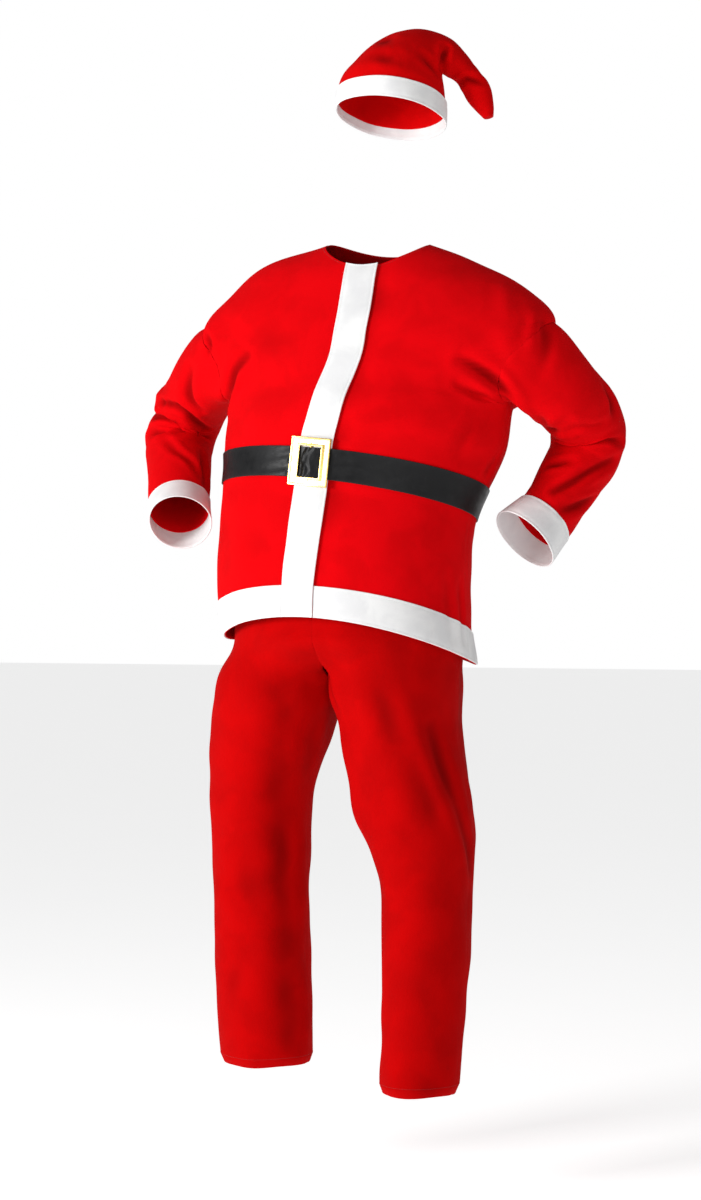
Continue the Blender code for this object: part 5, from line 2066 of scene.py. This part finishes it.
@dataclass(frozen=True)
class Hat:
    """The soft hat with its white band.

    Attributes:
        columns: Places round it.
        band: Height of its band.
        start: Where its crown starts inside the band, on the rings' scale.
        relief: The folds.
    """

    columns: int = 145
    band: float = 0.036
    start: float = 0.5
    relief: Relief = Relief(creases=HAT_CREASES, waves=(Waves(0.0012, 0.05, 0.16, seed=21),))

    def grid(self, at: Array, capped: bool = False) -> Grid:
        """The hat's places on these rings."""
        turn, at = np.linspace(0, 2 * math.pi, self.columns), at[:, None]
        normals = normals_of(hat_points, turn, np.clip(at, 0.01, HAT_END - 0.01))
        if capped:
            end, before = (hat_points(turn, ring).mean(axis=0) for ring in (HAT_END, HAT_END - 0.3))
            lean = ease(at - HAT_END, -0.12, 0.10)[..., None]
            normals = unit(normals * (1 - lean) + unit(end - before) * lean)
        return Grid(hat_points(turn, at), normals, closed=True, capped=capped)

    def build(self, finishes: Finishes) -> None:
        """Makes the crown, the band and its stitches."""
        first = self.start + np.array((0.0, 0.003, 0.01, 0.02, 0.035))
        tail = HAT_END + np.array((0.03, 0.08, 0.16, 0.3, 0.5, 0.75, 1.0))
        at = np.concatenate((first, np.linspace(0.6, HAT_END, 118), tail))
        crown, name = self.grid(at, capped=True), "felt_crown"
        Sheet(name, "hat_crown", RED_FELT, crown, self.relief, Edges(low=Edge.CUT)).build(finishes.hat)
        band = self.grid(spaced(self.band, Edge.CUT, Edge.CUT))
        sew_trim("hat_trim", "hat_band", band, self.relief, ENDS_CUT, name, finishes)


# ---- studio


class Lamp(NamedTuple):
    """A soft lamp aimed at the suit: its name, place as seen from the camera, side and power in watts."""

    name: str
    place: tuple
    size: float
    power: float


@dataclass(frozen=True)
class Studio:
    """A pale floor, soft lamps and the camera.

    Attributes:
        azimuth: The camera's angle to the wearer's left.
        camera: Where it stands: right of the suit's origin, towards the camera, and height.
        lens: Its lens in millimetres.
        target: What the lamps are aimed at.
        floor: The floor's height.
        half: Half the floor's side.
        ambient: Strength of the light from all round.
        lamps: The lamps.
    """

    azimuth: float = math.radians(22)
    camera: tuple = (-0.0455, 4.2, -0.5795)
    lens: float = 76.104
    target: tuple = (0.0, 0.0, -0.55)
    floor: float = -1.535
    half: float = 30.0
    ambient: float = 0.31
    lamps: tuple = (
        Lamp("key", (-2.7, 1.7, -0.15), 1.0, 84.0),
        Lamp("fill", (0.6, 4.0, -0.2), 2.2, 24.0),
        Lamp("top", (-1.2, 0.6, 2.4), 1.4, 9.0),
    )

    def place(self, right: float, toward: float, height: float) -> Vector:
        """A place given as seen from the camera."""
        cos, sin = math.cos(self.azimuth), math.sin(self.azimuth)
        return Vector((cos * right + sin * toward, sin * right - cos * toward, height))

    def add(self, name: str, data: Camera | Light | Mesh, place: Sequence[float] = (0, 0, 0)) -> Object:
        """Adds something to the scene, at a place given as seen from the camera."""
        obj = bpy.data.objects.new(name, data)
        obj.location = self.place(*place)
        bpy.context.scene.collection.objects.link(obj)
        return obj

    def build(self) -> None:
        """Makes the camera, the lamps, the surroundings and the floor."""
        scene = bpy.context.scene
        scene.view_settings.view_transform = "Standard"
        camera = bpy.data.cameras.new("camera")
        camera.lens, camera.sensor_width, camera.clip_end = self.lens, 36.0, 100.0
        scene.camera = self.add("camera", camera, self.camera)
        scene.camera.rotation_euler = (math.pi / 2, 0.0, self.azimuth)
        for lamp in self.lamps:
            light = bpy.data.lights.new(lamp.name, "AREA")
            light.size, light.energy = lamp.size, lamp.power
            obj = self.add(lamp.name, light, lamp.place)
            way = self.place(*self.target) - obj.location
            obj.rotation_euler = way.to_track_quat("-Z", "Y").to_euler()
        self.build_surroundings(scene)
        self.build_floor()

    def build_surroundings(self, scene: Scene) -> None:
        """An even white light from all round, brighter where the camera sees it."""
        world = bpy.data.worlds.new("studio")
        world.use_nodes = True
        n = Nodes(world.node_tree)
        seen = n.add("LightPath").outputs["Is Camera Ray"]
        strength = n.add("MapRange", None, Value=seen, To_Min=self.ambient, To_Max=1.0).outputs[0]
        n.feed(world.node_tree.nodes["Background"], {"Color": (1, 1, 1, 1), "Strength": strength})
        scene.world = world

    def build_floor(self) -> None:
        """A wide pale floor."""
        mesh = bpy.data.meshes.new("floor")
        ways = (-1, -1), (1, -1), (1, 1), (-1, 1)
        corners = [(x * self.half, y * self.half, self.floor) for x, y in ways]
        mesh.from_pydata(corners, [], [(0, 1, 2, 3)])
        mesh.materials.append(FloorFinish().make())
        self.add("floor", mesh)


# ---- the suit


def main() -> None:
    """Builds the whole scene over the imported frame."""
    logging.basicConfig(level=logging.INFO, format="%(message)s")
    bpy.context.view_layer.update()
    finishes = Finishes()
    for garment in (Jacket(), Sleeves(), Belt(), Trousers(), Hat()):
        garment.build(finishes)
    Studio().build()


if __name__ == "__main__":
    main()
